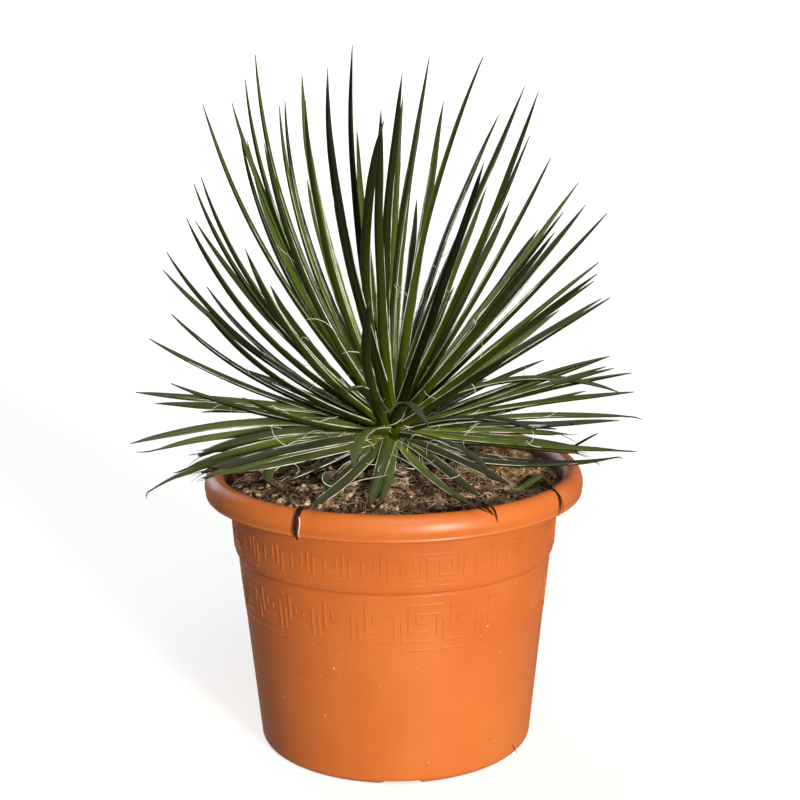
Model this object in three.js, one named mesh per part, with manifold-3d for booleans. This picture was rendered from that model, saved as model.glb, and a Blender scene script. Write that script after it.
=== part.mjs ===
// Potted agave: a rosette of narrow, thread-edged leaves standing in coarse soil, in a round
// moulded plastic pot with a rolled rim and two raised key bands.
// Millimetres, +Z up. The origin is the pot's axis at the level it stands on; the front is -Y.
import * as THREE from 'three';
import { mergeVertices } from 'three/addons/utils/BufferGeometryUtils.js';
import Module from 'manifold-3d';

const wasm = await Module();
wasm.setup();

// ---------------------------------------------------------------- driving dimensions

const gap = 0.3; // air left between two pieces that rest on each other

const pot = {
  height: 224.5,
  rimRadius: 150,
  lipCentre: 141.6, // radius at which the rolled lip is highest
  lipRise: 13, // from the lip's widest level to its top
  lipWall: 2.7,
  skirtFoot: 205, // lower edge of the lip
  skirtTuck: 1.2, // how far that edge stands in from the lip's widest
  collarTopRadius: 130.6,
  collarFootRadius: 127.7,
  collarFoot: 163,
  groove: 157.5, // level of the fine groove under the collar
  grooveDepth: 0.9,
  grooveLip: 0.6, // step out above the groove
  bodyTopRadius: 124.8,
  footRadius: 109,
  corner: 5.5, // rounding of the foot
  wall: 2.8,
  floorTop: 6,
  recess: 3, // height of the hollow under the floor
  padRadius: 24, // flat pad under the middle
  ringRadius: 88, // inside of the foot ring
  notchWidth: 30, // drainage channels through the foot ring
  notchTurn: 2, // degrees from the axes
  notches: 4,
  drainRadius: 6,
  drainCircle: 60,
  drains: 8,
  facets: 60,
};

const soil = {
  edge: 211, // level at the pot's wall
  crown: 233.5, // level round the stem
  crownRadius: 20,
  lump: 1.4,
  sectors: 40,
  rings: 5,
};

// The stem is widest where the leaves leave it, and ends in a blunt cone.
const stem = {
  radius: 13, foot: 200, neck: 238, bulge: 17, bulgeFoot: 244, bulgeTop: 254, tip: 9, top: 270, facets: 20,
};

// Leaves are counted from the lowest, oldest one to the innermost.
const rosette = {
  count: 100,
  turn: 137.508, // degrees from each leaf to the next
  phase: 298,
  seed: 8296,
  lowest: -12, // degrees from the horizontal
  steepest: 68,
  steps: 60, // steps along the middle line
  rings: [[30, 5], [70, 6], [360, 10]], // [bend and sway up to, rings of the blade's mesh]
  curve: 1.3, // above 1, a leaf bends more towards its tip
  lean: 0.1, // the tips draw to the light, at +X
  stretch: 0.045, // how much longer leaves grow on the dark side, and shorter on the light one
  baseRadius: [9, 4], // where a leaf leaves the stem, lowest and innermost
  baseLevel: [244, 262],
  evenness: 0.6, // 0 spreads the leaves evenly over a sphere, 1 by angle
  bendBefore: 0.55, // share of a leaf's bend below its middle rise, and above it
  bendAfter: 0.9,
};

// How far the draws spread each leaf, from the least to the most.
const spread = { height: 9, azimuth: 10, length: 0.2, bend: 10, sway: 14, roll: 36 };

// What keeps a leaf clear of the soil and the rim.
const settle = {
  overSoil: 5, // from the soil to the middle line
  overRim: 4.5,
  rimMargin: 4, // mm inside and outside the rim that count as over it
  freeSteps: 8, // steps at the root that may touch the soil
  tries: 40, // of a degree each
};

// Lists of [where, value], read between their entries. These go by a leaf's rise in degrees: its
// length, its bend, how much more a leaf on the dark side bends up to the light, how far from the
// front such leaves start, and its share of the full width.
const lengthAt = [[-15, 171], [0, 187], [15, 190], [30, 202], [45, 232], [60, 264], [75, 273]];
const bendAt = [[-15, -16], [0, -6], [15, 3], [30, 8], [45, 11], [60, 11], [75, 7]];
const sunBendAt = [[5, 0], [20, 10], [55, 8], [70, 3]];
const frontGapAt = [[-15, 100], [8, 100], [18, 26], [52, 26], [53, 0]];
const girthAt = [[12, 1], [50, 0.8]];

// These go by the place along a leaf, from 0 at its root to 1 at its tip.
const widthAt = [[0, 12], [0.12, 9.6], [0.35, 9], [0.6, 8.8], [0.8, 7.6], [0.92, 4.6], [1, 1]];
const thickAt = [[0, 5.2], [0.2, 3.6], [0.6, 3.1], [0.85, 2.3], [1, 0.7]];

// Where leaves that are set by hand leave the stem, and how they roll: each the other way round from
// the one before it, but the low leaves show their upper side to the front.
const outer = { radius: 8, roll: 8 };
const inner = { radius: 4, level: 262, roll: 16 };
const lowRoll = { left: 28, right: 10 };

// The leaves that lean out over the front, each set by hand. Angles in degrees: azimuth about the
// stem, rise at the base and at the tip, and sideways sway; level is where it leaves the stem.
const frontLeaves = [
  { azimuth: -106, base: 30, tip: 46, length: 208, sway: 19, level: 260 }, // tall, back to the front
  { azimuth: -110, base: 46, tip: -2, length: 149, sway: 10, level: 250 }, // arched, to the left
  { azimuth: -86, base: 37, tip: -15, length: 154, sway: 10, level: 254 }, // arched, nodding right
  { azimuth: -108, base: 17, tip: -13, length: 156, sway: 16, level: 253 }, // low arch
  { azimuth: -101, base: -20, tip: -14, length: 106, sway: 4, level: 249 }, // hanging, wide
  { azimuth: -92, base: -21, tip: -14, length: 100, sway: -7, level: 246 }, // hanging, beside it
  { azimuth: -134, base: -24, tip: -6, length: 84, sway: 28, level: 249 }, // short, on the soil
  { azimuth: -146, base: -14, tip: -8, length: 104, sway: 6, level: 247 },
  { azimuth: -118, base: -17, tip: 10, length: 160, sway: 14, level: 247 }, // ends over the rim
  { azimuth: -56, base: -11, tip: -6, length: 126, sway: -13, level: 249 },
  { azimuth: -72, base: -11, tip: 3, length: 156, sway: 8, level: 245 }, // ends over the rim
  { azimuth: -49, base: -4, tip: -3, length: 138, sway: -12, level: 248 },
  { azimuth: -62, base: 9, tip: 1, length: 190, sway: -19, level: 251 },
];

// Old leaves that lie out low over the rim, left and right. A leaf that has lost its end keeps the
// cut share of its width's run, and length is what is left of it.
const lowLeaves = [
  { azimuth: 176, base: 6, tip: 5, length: 199, sway: 1, level: 262 },
  { azimuth: 169, base: 5, tip: -5, length: 205, sway: -19, level: 256 },
  { azimuth: -172, base: 9, tip: -10, length: 201, sway: 16, level: 254 },
  { azimuth: -153, base: 14, tip: -26, length: 152, sway: -32, level: 249, cut: 0.78 },
  { azimuth: -141, base: 4, tip: -3, length: 164, sway: 5, level: 249, cut: 0.8 },
  { azimuth: -147, base: 1, tip: -8, length: 160, sway: 2, level: 248, cut: 0.9 },
  { azimuth: -144, base: 6, tip: -33, length: 202, sway: -59, level: 249 }, // hangs over the rim
  { azimuth: -200, base: -8, tip: 2, length: 186, sway: 160, level: 245 }, // curls round to the front
  { azimuth: -160, base: 4, tip: -12, length: 168, sway: 12, level: 250 },
  { azimuth: -166, base: 1, tip: -8, length: 143, sway: -14, level: 248, cut: 0.85 },
  { azimuth: -178, base: 4, tip: -12, length: 182, sway: 10, level: 252 },
  { azimuth: -156, base: 3, tip: -10, length: 156, sway: 10, level: 247, cut: 0.9 },
  { azimuth: -138, base: -3, tip: -2, length: 146, sway: -18, level: 247 },
  { azimuth: -13, base: 14, tip: 8, length: 183, sway: -2, level: 255 },
  { azimuth: -24, base: 34, tip: -18, length: 182, sway: 8, level: 260 }, // arched, nodding
  { azimuth: 6, base: 7, tip: -1, length: 180, sway: -18, level: 252 },
  { azimuth: -46, base: 22, tip: -4, length: 163, sway: -12, level: 252 },
  { azimuth: -29, base: 2, tip: -2, length: 145, sway: 10, level: 248, cut: 0.84 },
  { azimuth: -31, base: 1, tip: 5, length: 191, sway: -1, level: 251 },
  { azimuth: -12, base: -14, tip: 19, length: 177, sway: -24, level: 246 },
  { azimuth: -52, base: -7, tip: 3, length: 160, sway: 70, level: 246 }, // curls along the rim
  { azimuth: -20, base: 2, tip: -6, length: 136, sway: 14, level: 250 },
  { azimuth: -6, base: 3, tip: -4, length: 126, sway: 4, level: 250, cut: 0.9 },
  { azimuth: 14, base: 2, tip: -4, length: 140, sway: -8, level: 250 },
];

// The steep leaves of the crown, which draw the plant's outline.
const crownLeaves = [
  { azimuth: -174, base: 58, tip: 82, length: 306, sway: 3 },
  { azimuth: 161, base: 52, tip: 80, length: 295, sway: 8 },
  { azimuth: 160, base: 53, tip: 70, length: 283, sway: 6 },
  { azimuth: 172, base: 48, tip: 64, length: 298, sway: -28 },
  { azimuth: 147, base: 60, tip: 76, length: 290, sway: -24 },
  { azimuth: -104, base: 52, tip: 86, length: 304, sway: -40 },
  { azimuth: -113, base: 65, tip: 88, length: 302, sway: -22 },
  { azimuth: -103, base: 65, tip: 78, length: 288, sway: 24 },
  { azimuth: 100, base: 64, tip: 86, length: 292, sway: -60 },
  { azimuth: -61, base: 80, tip: 70, length: 290, sway: 32 },
  { azimuth: 72, base: 52, tip: 54, length: 286, sway: -20 },
  { azimuth: 64, base: 56, tip: 72, length: 286, sway: -50 },
  { azimuth: 89, base: 57, tip: 48, length: 281, sway: -8 },
  { azimuth: 137, base: 50, tip: 84, length: 275, sway: 20 },
  { azimuth: -117, base: 60, tip: 55, length: 286, sway: 42 },
];

// ---------------------------------------------------------------- helpers

const degrees = Math.PI / 180;
const mix = (a, b, t) => a + (b - a) * t;

function read(list, at) {
  for (let k = 1; k < list.length; k++) {
    const [x0, y0] = list[k - 1];
    const [x1, y1] = list[k];
    if (at <= x1) return mix(y0, y1, Math.max(0, (at - x0) / (x1 - x0)));
  }
  return list[list.length - 1][1];
}

// A small repeatable generator, so that every build grows the same leaves.
function makeRandom(seed) {
  let state = seed;
  return () => {
    state = (state * 16807) % 2147483647;
    return state / 2147483647;
  };
}

// The geometry as a closed solid: corners joined, slivers at the axis dropped.
function toSolid(geometry) {
  const bare = new THREE.BufferGeometry();
  bare.setAttribute('position', geometry.attributes.position);
  bare.setIndex(geometry.index);
  const merged = mergeVertices(bare, 1e-4);
  const corners = [];
  const index = merged.index.array;
  for (let k = 0; k < index.length; k += 3) {
    const [a, b, c] = [index[k], index[k + 1], index[k + 2]];
    if (a !== b && b !== c && c !== a) corners.push(a, b, c);
  }
  return new wasm.Manifold(new wasm.Mesh({
    numProp: 3,
    vertProperties: new Float32Array(merged.attributes.position.array),
    triVerts: new Uint32Array(corners),
  }));
}

function toMesh(name, solid, look) {
  const { vertProperties, triVerts } = solid.getMesh();
  const geometry = new THREE.BufferGeometry();
  geometry.setAttribute('position', new THREE.BufferAttribute(new Float32Array(vertProperties), 3));
  geometry.setIndex(new THREE.BufferAttribute(new Uint32Array(triVerts), 1));
  geometry.computeVertexNormals();
  const mesh = new THREE.Mesh(geometry, new THREE.MeshStandardMaterial(look));
  mesh.name = name;
  return mesh;
}

// Joins many solids two by two, and keeps the one body that they make.
function fuse(solids) {
  let level = solids;
  while (level.length > 1) {
    const next = [];
    for (let k = 0; k < level.length; k += 2) {
      next.push(k + 1 < level.length ? level[k].add(level[k + 1]) : level[k]);
    }
    level = next;
  }
  const bodies = level[0].decompose();
  return bodies.reduce((best, body) => (body.volume() > best.volume() ? body : best));
}

// Moves each corner of a geometry to where place(x, y, z) puts it.
function reshape(geometry, place) {
  const position = geometry.attributes.position;
  for (let k = 0; k < position.count; k++) {
    const [x, y, z] = place(position.getX(k), position.getY(k), position.getZ(k));
    position.setXYZ(k, x, y, z);
  }
  return geometry;
}

// A round body about +Z from [radius, level] points that start and end on the axis.
function turned(points, facets) {
  const profile = points.map(([radius, level]) => new THREE.Vector2(radius, level));
  return new THREE.LatheGeometry(profile, facets).rotateX(Math.PI / 2);
}

// Points of an elliptic arc in the [radius, level] plane.
function arc(radius, level, wide, high, from, to, steps) {
  return Array.from({ length: steps + 1 }, (_, k) => {
    const angle = mix(from, to, k / steps) * degrees;
    return [radius + wide * Math.cos(angle), level + high * Math.sin(angle)];
  });
}

// ---------------------------------------------------------------- pot

const lipLevel = pot.height - pot.lipRise;
const lipWide = pot.rimRadius - pot.lipCentre;
const collarTop = pot.skirtFoot - 3; // where the wall turns out into the lip

const bodyRadius = (z) => mix(pot.footRadius, pot.bodyTopRadius, z / pot.groove);
const collarRadius = (z) => mix(
  pot.collarFootRadius, pot.collarTopRadius, (z - pot.collarFoot) / (pot.skirtFoot - pot.collarFoot));

// The inside of the wall, which the soil fills.
function innerRadius(z) {
  if (z <= pot.groove) return bodyRadius(z) - pot.wall;
  if (z <= pot.collarFoot) {
    const t = (z - pot.groove) / (pot.collarFoot - pot.groove);
    return mix(pot.bodyTopRadius, pot.collarFootRadius, t) - pot.wall;
  }
  if (z <= collarTop) return collarRadius(z) - pot.wall;
  const t = (z - collarTop) / (lipLevel - collarTop);
  return mix(collarRadius(collarTop) - pot.wall, pot.lipCentre - lipWide, t);
}

function potProfile() {
  const { corner, groove, skirtFoot, lipWall, padRadius, ringRadius, recess } = pot;
  const cornerRadius = bodyRadius(corner) - corner;
  const under = [
    [0, 0], [padRadius, 0], [padRadius, recess], [ringRadius, recess], [ringRadius, 0],
  ];
  const outside = [
    ...arc(cornerRadius, corner, corner, corner, -90, 0, 2),
    [bodyRadius(groove - 1), groove - 1],
    [bodyRadius(groove) - pot.grooveDepth, groove],
    [bodyRadius(groove) + pot.grooveLip, groove + 1],
    [pot.collarFootRadius, pot.collarFoot],
    [collarRadius(collarTop), collarTop],
  ];
  const hollow = arc(pot.lipCentre, lipLevel, lipWide - lipWall, pot.lipRise - lipWall, 180, 0, 2);
  const lip = arc(pot.lipCentre, lipLevel, lipWide, pot.lipRise, 0, 180, 6);
  const skirtRadius = pot.rimRadius - pot.skirtTuck;
  const skirt = [[skirtRadius - lipWall, skirtFoot], [skirtRadius, skirtFoot]];
  const cornerTop = pot.floorTop + corner;
  const inside = [
    [innerRadius(collarTop), collarTop],
    [innerRadius(pot.collarFoot), pot.collarFoot],
    [innerRadius(groove), groove],
    [innerRadius(cornerTop), cornerTop],
    [innerRadius(cornerTop) - corner, pot.floorTop],
    [0, pot.floorTop],
  ];
  return [...under, ...outside, ...hollow, ...skirt, ...lip, ...inside];
}

// Key bands: each unit is one raised rib that winds inwards in squares. Its run is a list of
// grid corners; a grid step is [part of the unit across, mm up].
const keyBands = [
  {
    units: 28, foot: 165, step: [1 / 6, 4.1], rib: 2.2, phase: 0.14,
    run: [[-2, 6], [3.2, 6], [3.2, 2], [0.2, 2], [0.2, 4.6]],
  },
  {
    units: 24, foot: 113, step: [1 / 6, 7.2], rib: 2.6, phase: 0.16,
    run: [[0, 0], [5, 0], [5, 5], [1, 5], [1, 2], [3.4, 2], [3.4, 3.4]],
  },
];
const relief = 0.7; // how far a rib stands out of the wall
const ribRoot = 1.2; // how deep it is rooted in the wall
const longSide = 12; // a side longer than this is bent with the wall

const wallRadius = (z) => (z > pot.groove ? collarRadius(z) : bodyRadius(z));

// The outline of a rib of the given half width, whose middle runs along right-angled corners.
function ribOutline(points, half) {
  const left = [];
  const right = [];
  const way = points.slice(1).map(([x, y], k) => {
    const [x0, y0] = points[k];
    return [Math.sign(x - x0), Math.sign(y - y0)];
  });
  points.forEach(([x, y], k) => {
    const before = way[Math.max(k - 1, 0)];
    const after = way[Math.min(k, way.length - 1)];
    const end = (k === way.length) - (k === 0);
    const straight = before === after;
    const across = straight ? [-after[1], after[0]] : [-before[1] - after[1], before[0] + after[0]];
    const shift = [after[0] * end * half, after[1] * end * half];
    left.push(new THREE.Vector2(x + shift[0] + across[0] * half, y + shift[1] + across[1] * half));
    right.unshift(new THREE.Vector2(x + shift[0] - across[0] * half, y + shift[1] - across[1] * half));
  });
  return [...left, ...right];
}

// Long sides that run round the wall get a point in their middle, so that they bend with it.
function bendable(outline) {
  return outline.flatMap((p, k) => {
    const q = outline[(k + 1) % outline.length];
    return Math.abs(q.x - p.x) > longSide ? [p, p.clone().lerp(q, 0.5)] : [p];
  });
}

function keyBand({ units, foot, step, rib, phase, run }) {
  const pitch = 2 * Math.PI / units;
  const radius = wallRadius(foot + rib);
  const corners = run.map(([u, v]) => [u * step[0] * pitch * radius, foot + v * step[1]]);
  const shape = new THREE.Shape(bendable(ribOutline(corners, rib / 2)));
  return Array.from({ length: units }, (_, unit) => {
    const bar = new THREE.ExtrudeGeometry(shape, { depth: relief + ribRoot, bevelEnabled: false });
    return toSolid(reshape(bar, (x, y, z) => {
      const angle = (unit + phase) * pitch + x / radius;
      const out = wallRadius(y) - ribRoot + z;
      return [out * Math.cos(angle), out * Math.sin(angle), y];
    }));
  });
}

// A drainage channel runs from the hollow under the floor out through the foot ring.
function channel(k) {
  const from = pot.ringRadius - 4;
  const to = pot.footRadius + 4;
  const turn = (k / pot.notches) * 2 * Math.PI + pot.notchTurn * degrees;
  const box = new THREE.BoxGeometry(to - from, pot.notchWidth, 2 * pot.recess);
  return toSolid(box.translate((from + to) / 2, 0, 0).rotateZ(turn));
}

function drain(k) {
  const turn = (k / pot.drains) * 2 * Math.PI;
  const hole = new THREE.CylinderGeometry(pot.drainRadius, pot.drainRadius, 3 * pot.floorTop, 12);
  hole.rotateX(Math.PI / 2).translate(pot.drainCircle, 0, 0).rotateZ(turn);
  return toSolid(hole);
}

function makePot() {
  let body = toSolid(turned(potProfile(), pot.facets));
  for (let k = 0; k < pot.notches; k++) body = body.subtract(channel(k));
  for (let k = 0; k < pot.drains; k++) body = body.subtract(drain(k));
  return fuse([body, ...keyBands.flatMap(keyBand)]);
}

// ---------------------------------------------------------------- soil

const soilEdge = innerRadius(soil.edge) - gap;

// The mound: highest round the stem, falling to the wall.
function moundLevel(radius) {
  const t = Math.min(1, Math.max(0, (radius - soil.crownRadius) / (soilEdge - soil.crownRadius)));
  return mix(soil.crown, soil.edge, t);
}

function lumps(x, y) {
  return Math.sin(x / 9) * Math.cos(y / 7) + 0.6 * Math.sin((x + y) / 5 + 1) * Math.cos((x - y) / 11);
}

function makeSoil() {
  const hole = stem.radius + gap;
  const surface = Array.from({ length: soil.rings + 1 }, (_, k) => {
    const radius = mix(hole, soilEdge, k / soil.rings);
    return [radius, moundLevel(radius)];
  });
  const floor = pot.floorTop + gap;
  const corner = floor + pot.corner;
  const profile = [
    [0, floor],
    [innerRadius(corner) - pot.corner - gap, floor],
    [innerRadius(corner) - gap, corner],
    [innerRadius(pot.groove) - gap, pot.groove],
    [innerRadius(pot.collarFoot) - gap, pot.collarFoot],
    [innerRadius(collarTop) - gap, collarTop],
    ...surface.reverse(),
    [hole, stem.foot - gap],
    [0, stem.foot - gap],
  ];
  const body = turned(profile, soil.sectors);
  reshape(body, (x, y, z) => {
    const radius = Math.hypot(x, y);
    const inner = radius > hole + 1 && radius < soilEdge - 1 && z > soil.edge;
    return [x, y, inner ? z + soil.lump * lumps(x, y) : z];
  });
  return toSolid(body);
}

// ---------------------------------------------------------------- rosette

// What a leaf's middle line must stay above: the soil, then the rim.
function restLevel(radius) {
  if (radius < pot.lipCentre - lipWide - settle.rimMargin) return moundLevel(radius) + settle.overSoil;
  if (radius < pot.rimRadius + settle.rimMargin) return pot.height + settle.overRim;
  return 0;
}

function middleLine({ azimuth, base, tip, length, sway, radius, level }) {
  const points = [];
  const at = new THREE.Vector3(
    radius * Math.cos(azimuth * degrees), radius * Math.sin(azimuth * degrees), level);
  points.push(at.clone());
  const step = length / rosette.steps;
  for (let k = 0; k < rosette.steps; k++) {
    const s = (k + 0.5) / rosette.steps;
    const rise = mix(base, tip, s ** rosette.curve) * degrees;
    const turn = (azimuth + sway * s) * degrees;
    const drawn = rosette.lean * s * Math.max(0, Math.sin(rise));
    at.x += step * (Math.cos(rise) * Math.cos(turn) + drawn);
    at.y += step * Math.cos(rise) * Math.sin(turn);
    at.z += step * Math.sin(rise);
    points.push(at.clone());
  }
  return points;
}

// A leaf that would cut the soil or the rim is raised, a degree at a time, until it lies clear.
function settledLine(leaf) {
  const settled = { ...leaf };
  const isClear = (p, k) => k < settle.freeSteps || p.z >= restLevel(Math.hypot(p.x, p.y));
  for (let tries = 0; tries < settle.tries; tries++) {
    const line = middleLine(settled);
    if (line.every(isClear)) return line;
    settled.base += 1;
    settled.tip += 1;
  }
  return middleLine(settled);
}

// The rise of the leaf that is the share t of the way from the lowest to the innermost.
function riseAt(t) {
  const { lowest, steepest, evenness } = rosette;
  const overSphere = Math.asin(mix(Math.sin(lowest * degrees), Math.sin(steepest * degrees), t));
  return mix(overSphere / degrees, mix(lowest, steepest, t), evenness);
}

// The leaves that the rule grows: a fixed turn from each to the next, rising towards the middle.
function grownLeaves() {
  const random = makeRandom(rosette.seed);
  const leaves = [];
  for (let k = 0; k < rosette.count; k++) {
    const t = k / (rosette.count - 1);
    const rise = riseAt(t) + (random() - 0.5) * spread.height;
    const azimuth = rosette.phase + rosette.turn * k + (random() - 0.5) * spread.azimuth;
    const dark = -Math.cos(azimuth * degrees); // 1 on the dark side, -1 on the light one
    const fullLength = read(lengthAt, rise) * (1 + rosette.stretch * dark);
    const length = fullLength * (1 + (random() - 0.5) * spread.length);
    const bend = read(bendAt, rise) + read(sunBendAt, rise) * dark + (random() - 0.5) * spread.bend;
    const sway = (random() - 0.5) * spread.sway;
    const roll = (random() - 0.5) * spread.roll;
    const radius = mix(...rosette.baseRadius, t);
    const level = mix(...rosette.baseLevel, t);
    const base = rise - bend * rosette.bendBefore;
    const tip = rise + bend * rosette.bendAfter;
    const fromFront = Math.abs(((azimuth + 270) % 360) - 180);
    if (fromFront >= read(frontGapAt, rise)) {
      leaves.push({ azimuth, base, tip, length, sway, roll, radius, level });
    }
  }
  return leaves;
}

// One blade: a bar of three sides, flat above and keeled below, bent along the middle line.
function blade(leaf) {
  const line = settledLine(leaf);
  const { steps } = rosette;
  const curl = Math.abs(leaf.tip - leaf.base) + Math.abs(leaf.sway);
  const [, rings] = rosette.rings.find(([most]) => curl <= most);
  const girth = read(girthAt, (leaf.base + leaf.tip) / 2);
  const bar = new THREE.CylinderGeometry(1, 1, 1, 3, rings, false, Math.PI);
  return toSolid(reshape(bar, (x, y, z) => {
    const s = y + 0.5;
    const k = Math.round(s * rings) * (steps / rings);
    const along = line[Math.min(k + 1, steps)].clone().sub(line[Math.max(k - 1, 0)]).normalize();
    const turn = (leaf.azimuth + leaf.sway * s) * degrees;
    const side = new THREE.Vector3(Math.sin(turn), -Math.cos(turn), 0);
    side.applyAxisAngle(along, leaf.roll * degrees);
    const up = new THREE.Vector3().crossVectors(side, along).normalize();
    const p = line[k].clone();
    const whole = s * (leaf.cut ?? 1); // the same place on a leaf that has its end
    p.addScaledVector(side, x * girth * read(widthAt, whole) / Math.sqrt(3)); // the bar is sqrt(3) wide
    p.addScaledVector(up, z * read(thickAt, whole) / 1.5); // and 1.5 thick
    return [p.x, p.y, p.z];
  }));
}

function makeStem() {
  const { radius, foot, neck, bulge, bulgeFoot, bulgeTop, tip, top } = stem;
  return toSolid(turned([
    [0, foot], [radius, foot], [radius, neck], [bulge, bulgeFoot], [bulge - 2, bulgeTop],
    [tip, top - 4], [0, top],
  ], stem.facets));
}

function placedLeaves(leaves, start) {
  return leaves.map((leaf, k) => ({ ...start, ...leaf, roll: k % 2 ? start.roll : -start.roll }));
}

function turnedToFront(azimuth) {
  const right = Math.cos(azimuth * degrees);
  return right * (right > 0 ? lowRoll.right : lowRoll.left);
}

function makeRosette() {
  const leaves = [
    ...grownLeaves(),
    ...placedLeaves(frontLeaves, outer),
    ...placedLeaves(crownLeaves, inner),
    ...lowLeaves.map((leaf) => ({ ...outer, ...leaf, roll: turnedToFront(leaf.azimuth) })),
  ];
  return fuse([makeStem(), ...leaves.map(blade)]);
}

// ---------------------------------------------------------------- scene

const plant = new THREE.Group();
plant.add(
  toMesh('pot', makePot(), { color: 0xd9703a, roughness: 0.5, metalness: 0 }),
  toMesh('soil', makeSoil(), { color: 0x5b4636, roughness: 1, metalness: 0 }),
  toMesh('rosette', makeRosette(), { color: 0x3f5f1c, roughness: 0.55, metalness: 0 }),
);

export default plant;
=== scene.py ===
import math

import bmesh
import bpy
from mathutils import Matrix, Vector, noise


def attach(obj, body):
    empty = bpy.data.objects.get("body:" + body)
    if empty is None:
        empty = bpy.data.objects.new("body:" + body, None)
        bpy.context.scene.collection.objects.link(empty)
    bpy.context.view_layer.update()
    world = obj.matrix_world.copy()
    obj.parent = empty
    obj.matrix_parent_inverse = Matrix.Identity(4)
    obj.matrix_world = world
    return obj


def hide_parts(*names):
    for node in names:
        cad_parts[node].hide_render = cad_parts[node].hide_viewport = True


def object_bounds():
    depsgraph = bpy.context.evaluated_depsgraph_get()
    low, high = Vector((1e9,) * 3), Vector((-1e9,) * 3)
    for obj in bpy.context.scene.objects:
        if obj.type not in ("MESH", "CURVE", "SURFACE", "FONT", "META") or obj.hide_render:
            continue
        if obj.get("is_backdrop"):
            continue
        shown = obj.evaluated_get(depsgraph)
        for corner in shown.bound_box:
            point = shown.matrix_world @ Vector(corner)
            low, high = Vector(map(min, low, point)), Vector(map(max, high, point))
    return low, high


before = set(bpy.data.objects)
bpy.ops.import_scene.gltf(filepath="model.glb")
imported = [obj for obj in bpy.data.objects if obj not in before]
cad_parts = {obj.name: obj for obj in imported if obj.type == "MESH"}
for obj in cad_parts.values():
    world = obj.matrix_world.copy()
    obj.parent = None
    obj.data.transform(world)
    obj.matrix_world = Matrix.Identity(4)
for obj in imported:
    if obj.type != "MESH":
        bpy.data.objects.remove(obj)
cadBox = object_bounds()
print("frame loaded:", sorted(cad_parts))

mm = 0.001
degrees = math.pi / 180


def mix(a, b, t):
    return a + (b - a) * t


def readAt(stops, at):  # a value between the entries of a list of (where, value)
    for (x0, y0), (x1, y1) in zip(stops, stops[1:]):
        if at <= x1:
            return mix(y0, y1, max(0, (at - x0) / (x1 - x0)))
    return stops[-1][1]


def makeRandom(seed):  # the same small generator that grows the leaves in the solid model
    state = seed

    def draw(low=0.0, high=1.0):
        nonlocal state
        state = state * 16807 % 2147483647
        return mix(low, high, state / 2147483647)

    return draw


def arc(radius, level, wide, high, start, end, steps):  # an elliptic arc of [radius, level] points
    angles = [mix(start, end, k / steps) * degrees for k in range(steps + 1)]
    return [(radius + wide * math.cos(a), level + high * math.sin(a)) for a in angles]


def onCircle(radius, angle, level):
    return Vector((radius * math.cos(angle), radius * math.sin(angle), level))


# Materials

def colour(code):  # sRGB hex to linear
    parts = [int(code[k:k + 2], 16) / 255 for k in (1, 3, 5)]
    return [c / 12.92 if c <= 0.04045 else ((c + 0.055) / 1.055) ** 2.4 for c in parts] + [1.0]


def addNode(material, kind, inputs=None, stops=None, **settings):
    tree = material.node_tree
    made = tree.nodes.new("ShaderNode" + kind)
    for name, value in settings.items():
        setattr(made, name, value)
    for name, value in (inputs or {}).items():
        if isinstance(value, bpy.types.NodeSocket):
            tree.links.new(value, made.inputs[name])
        else:
            made.inputs[name].default_value = value
    for k, (place, code) in enumerate(stops or []):
        ramp = made.color_ramp.elements
        element = ramp[k] if k < 2 else ramp.new(place)
        element.position = place
        element.color = colour(code)
    return made


def newMaterial(name, shader):
    material = bpy.data.materials.new(name)
    material.use_nodes = True
    principled = material.node_tree.nodes["Principled BSDF"]
    for socket, value in shader.items():
        principled.inputs[socket].default_value = value
    return material


def dress(material, **outputs):  # links base colour, roughness and normal into the shader
    sockets = {"base": "Base Color", "rough": "Roughness", "normal": "Normal"}
    principled = material.node_tree.nodes["Principled BSDF"]
    for name, output in outputs.items():
        material.node_tree.links.new(output, principled.inputs[sockets[name]])


def blendColours(material, factor, first, second, how="MIX"):
    made = addNode(material, "Mix", {0: factor, 6: first, 7: second}, data_type="RGBA", blend_type=how)
    return made.outputs[2]


# Building

def finishPiece(name, bm, material, stands=None, smooth=True):
    mesh = bpy.data.meshes.new(name)
    bm.to_mesh(mesh)
    bm.free()
    mesh.materials.append(material)
    for face in mesh.polygons:
        face.use_smooth = smooth
    piece = bpy.data.objects.new(name, mesh)
    bpy.context.scene.collection.objects.link(piece)
    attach(piece, "root")
    if stands:
        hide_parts(stands)
    print(name, "made with", sum(len(f.vertices) - 2 for f in mesh.polygons), "triangles")
    return piece


def spinProfile(bm, points, steps, closed):  # turns a [radius, level] outline round the pot's axis
    verts = [bm.verts.new((radius * mm, 0, level * mm)) for radius, level in points]
    edges = [bm.edges.new(pair) for pair in zip(verts, verts[1:])]
    if closed:
        edges.append(bm.edges.new((verts[-1], verts[0])))
    bmesh.ops.spin(bm, geom=verts + edges, cent=(0, 0, 0), axis=(0, 0, 1), angle=2 * math.pi,
                   steps=steps, use_merge=True)
    bmesh.ops.remove_doubles(bm, verts=bm.verts, dist=1e-6)
    bmesh.ops.recalc_face_normals(bm, faces=bm.faces)


def barMaster(bm, sides, steps):  # a closed bar of radius 1 along Z, from 0 to 1
    disc = bmesh.ops.create_circle(bm, cap_ends=True, segments=sides, radius=1)["verts"]
    face = disc[0].link_faces[0]
    bmesh.ops.spin(bm, geom=[face], cent=(0, 0, 0), axis=(0, 0, 1), dvec=(0, 0, 1 / steps), angle=0,
                   steps=steps)
    bmesh.ops.recalc_face_normals(bm, faces=bm.faces)
    return bm.verts[:] + bm.edges[:] + bm.faces[:]


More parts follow.
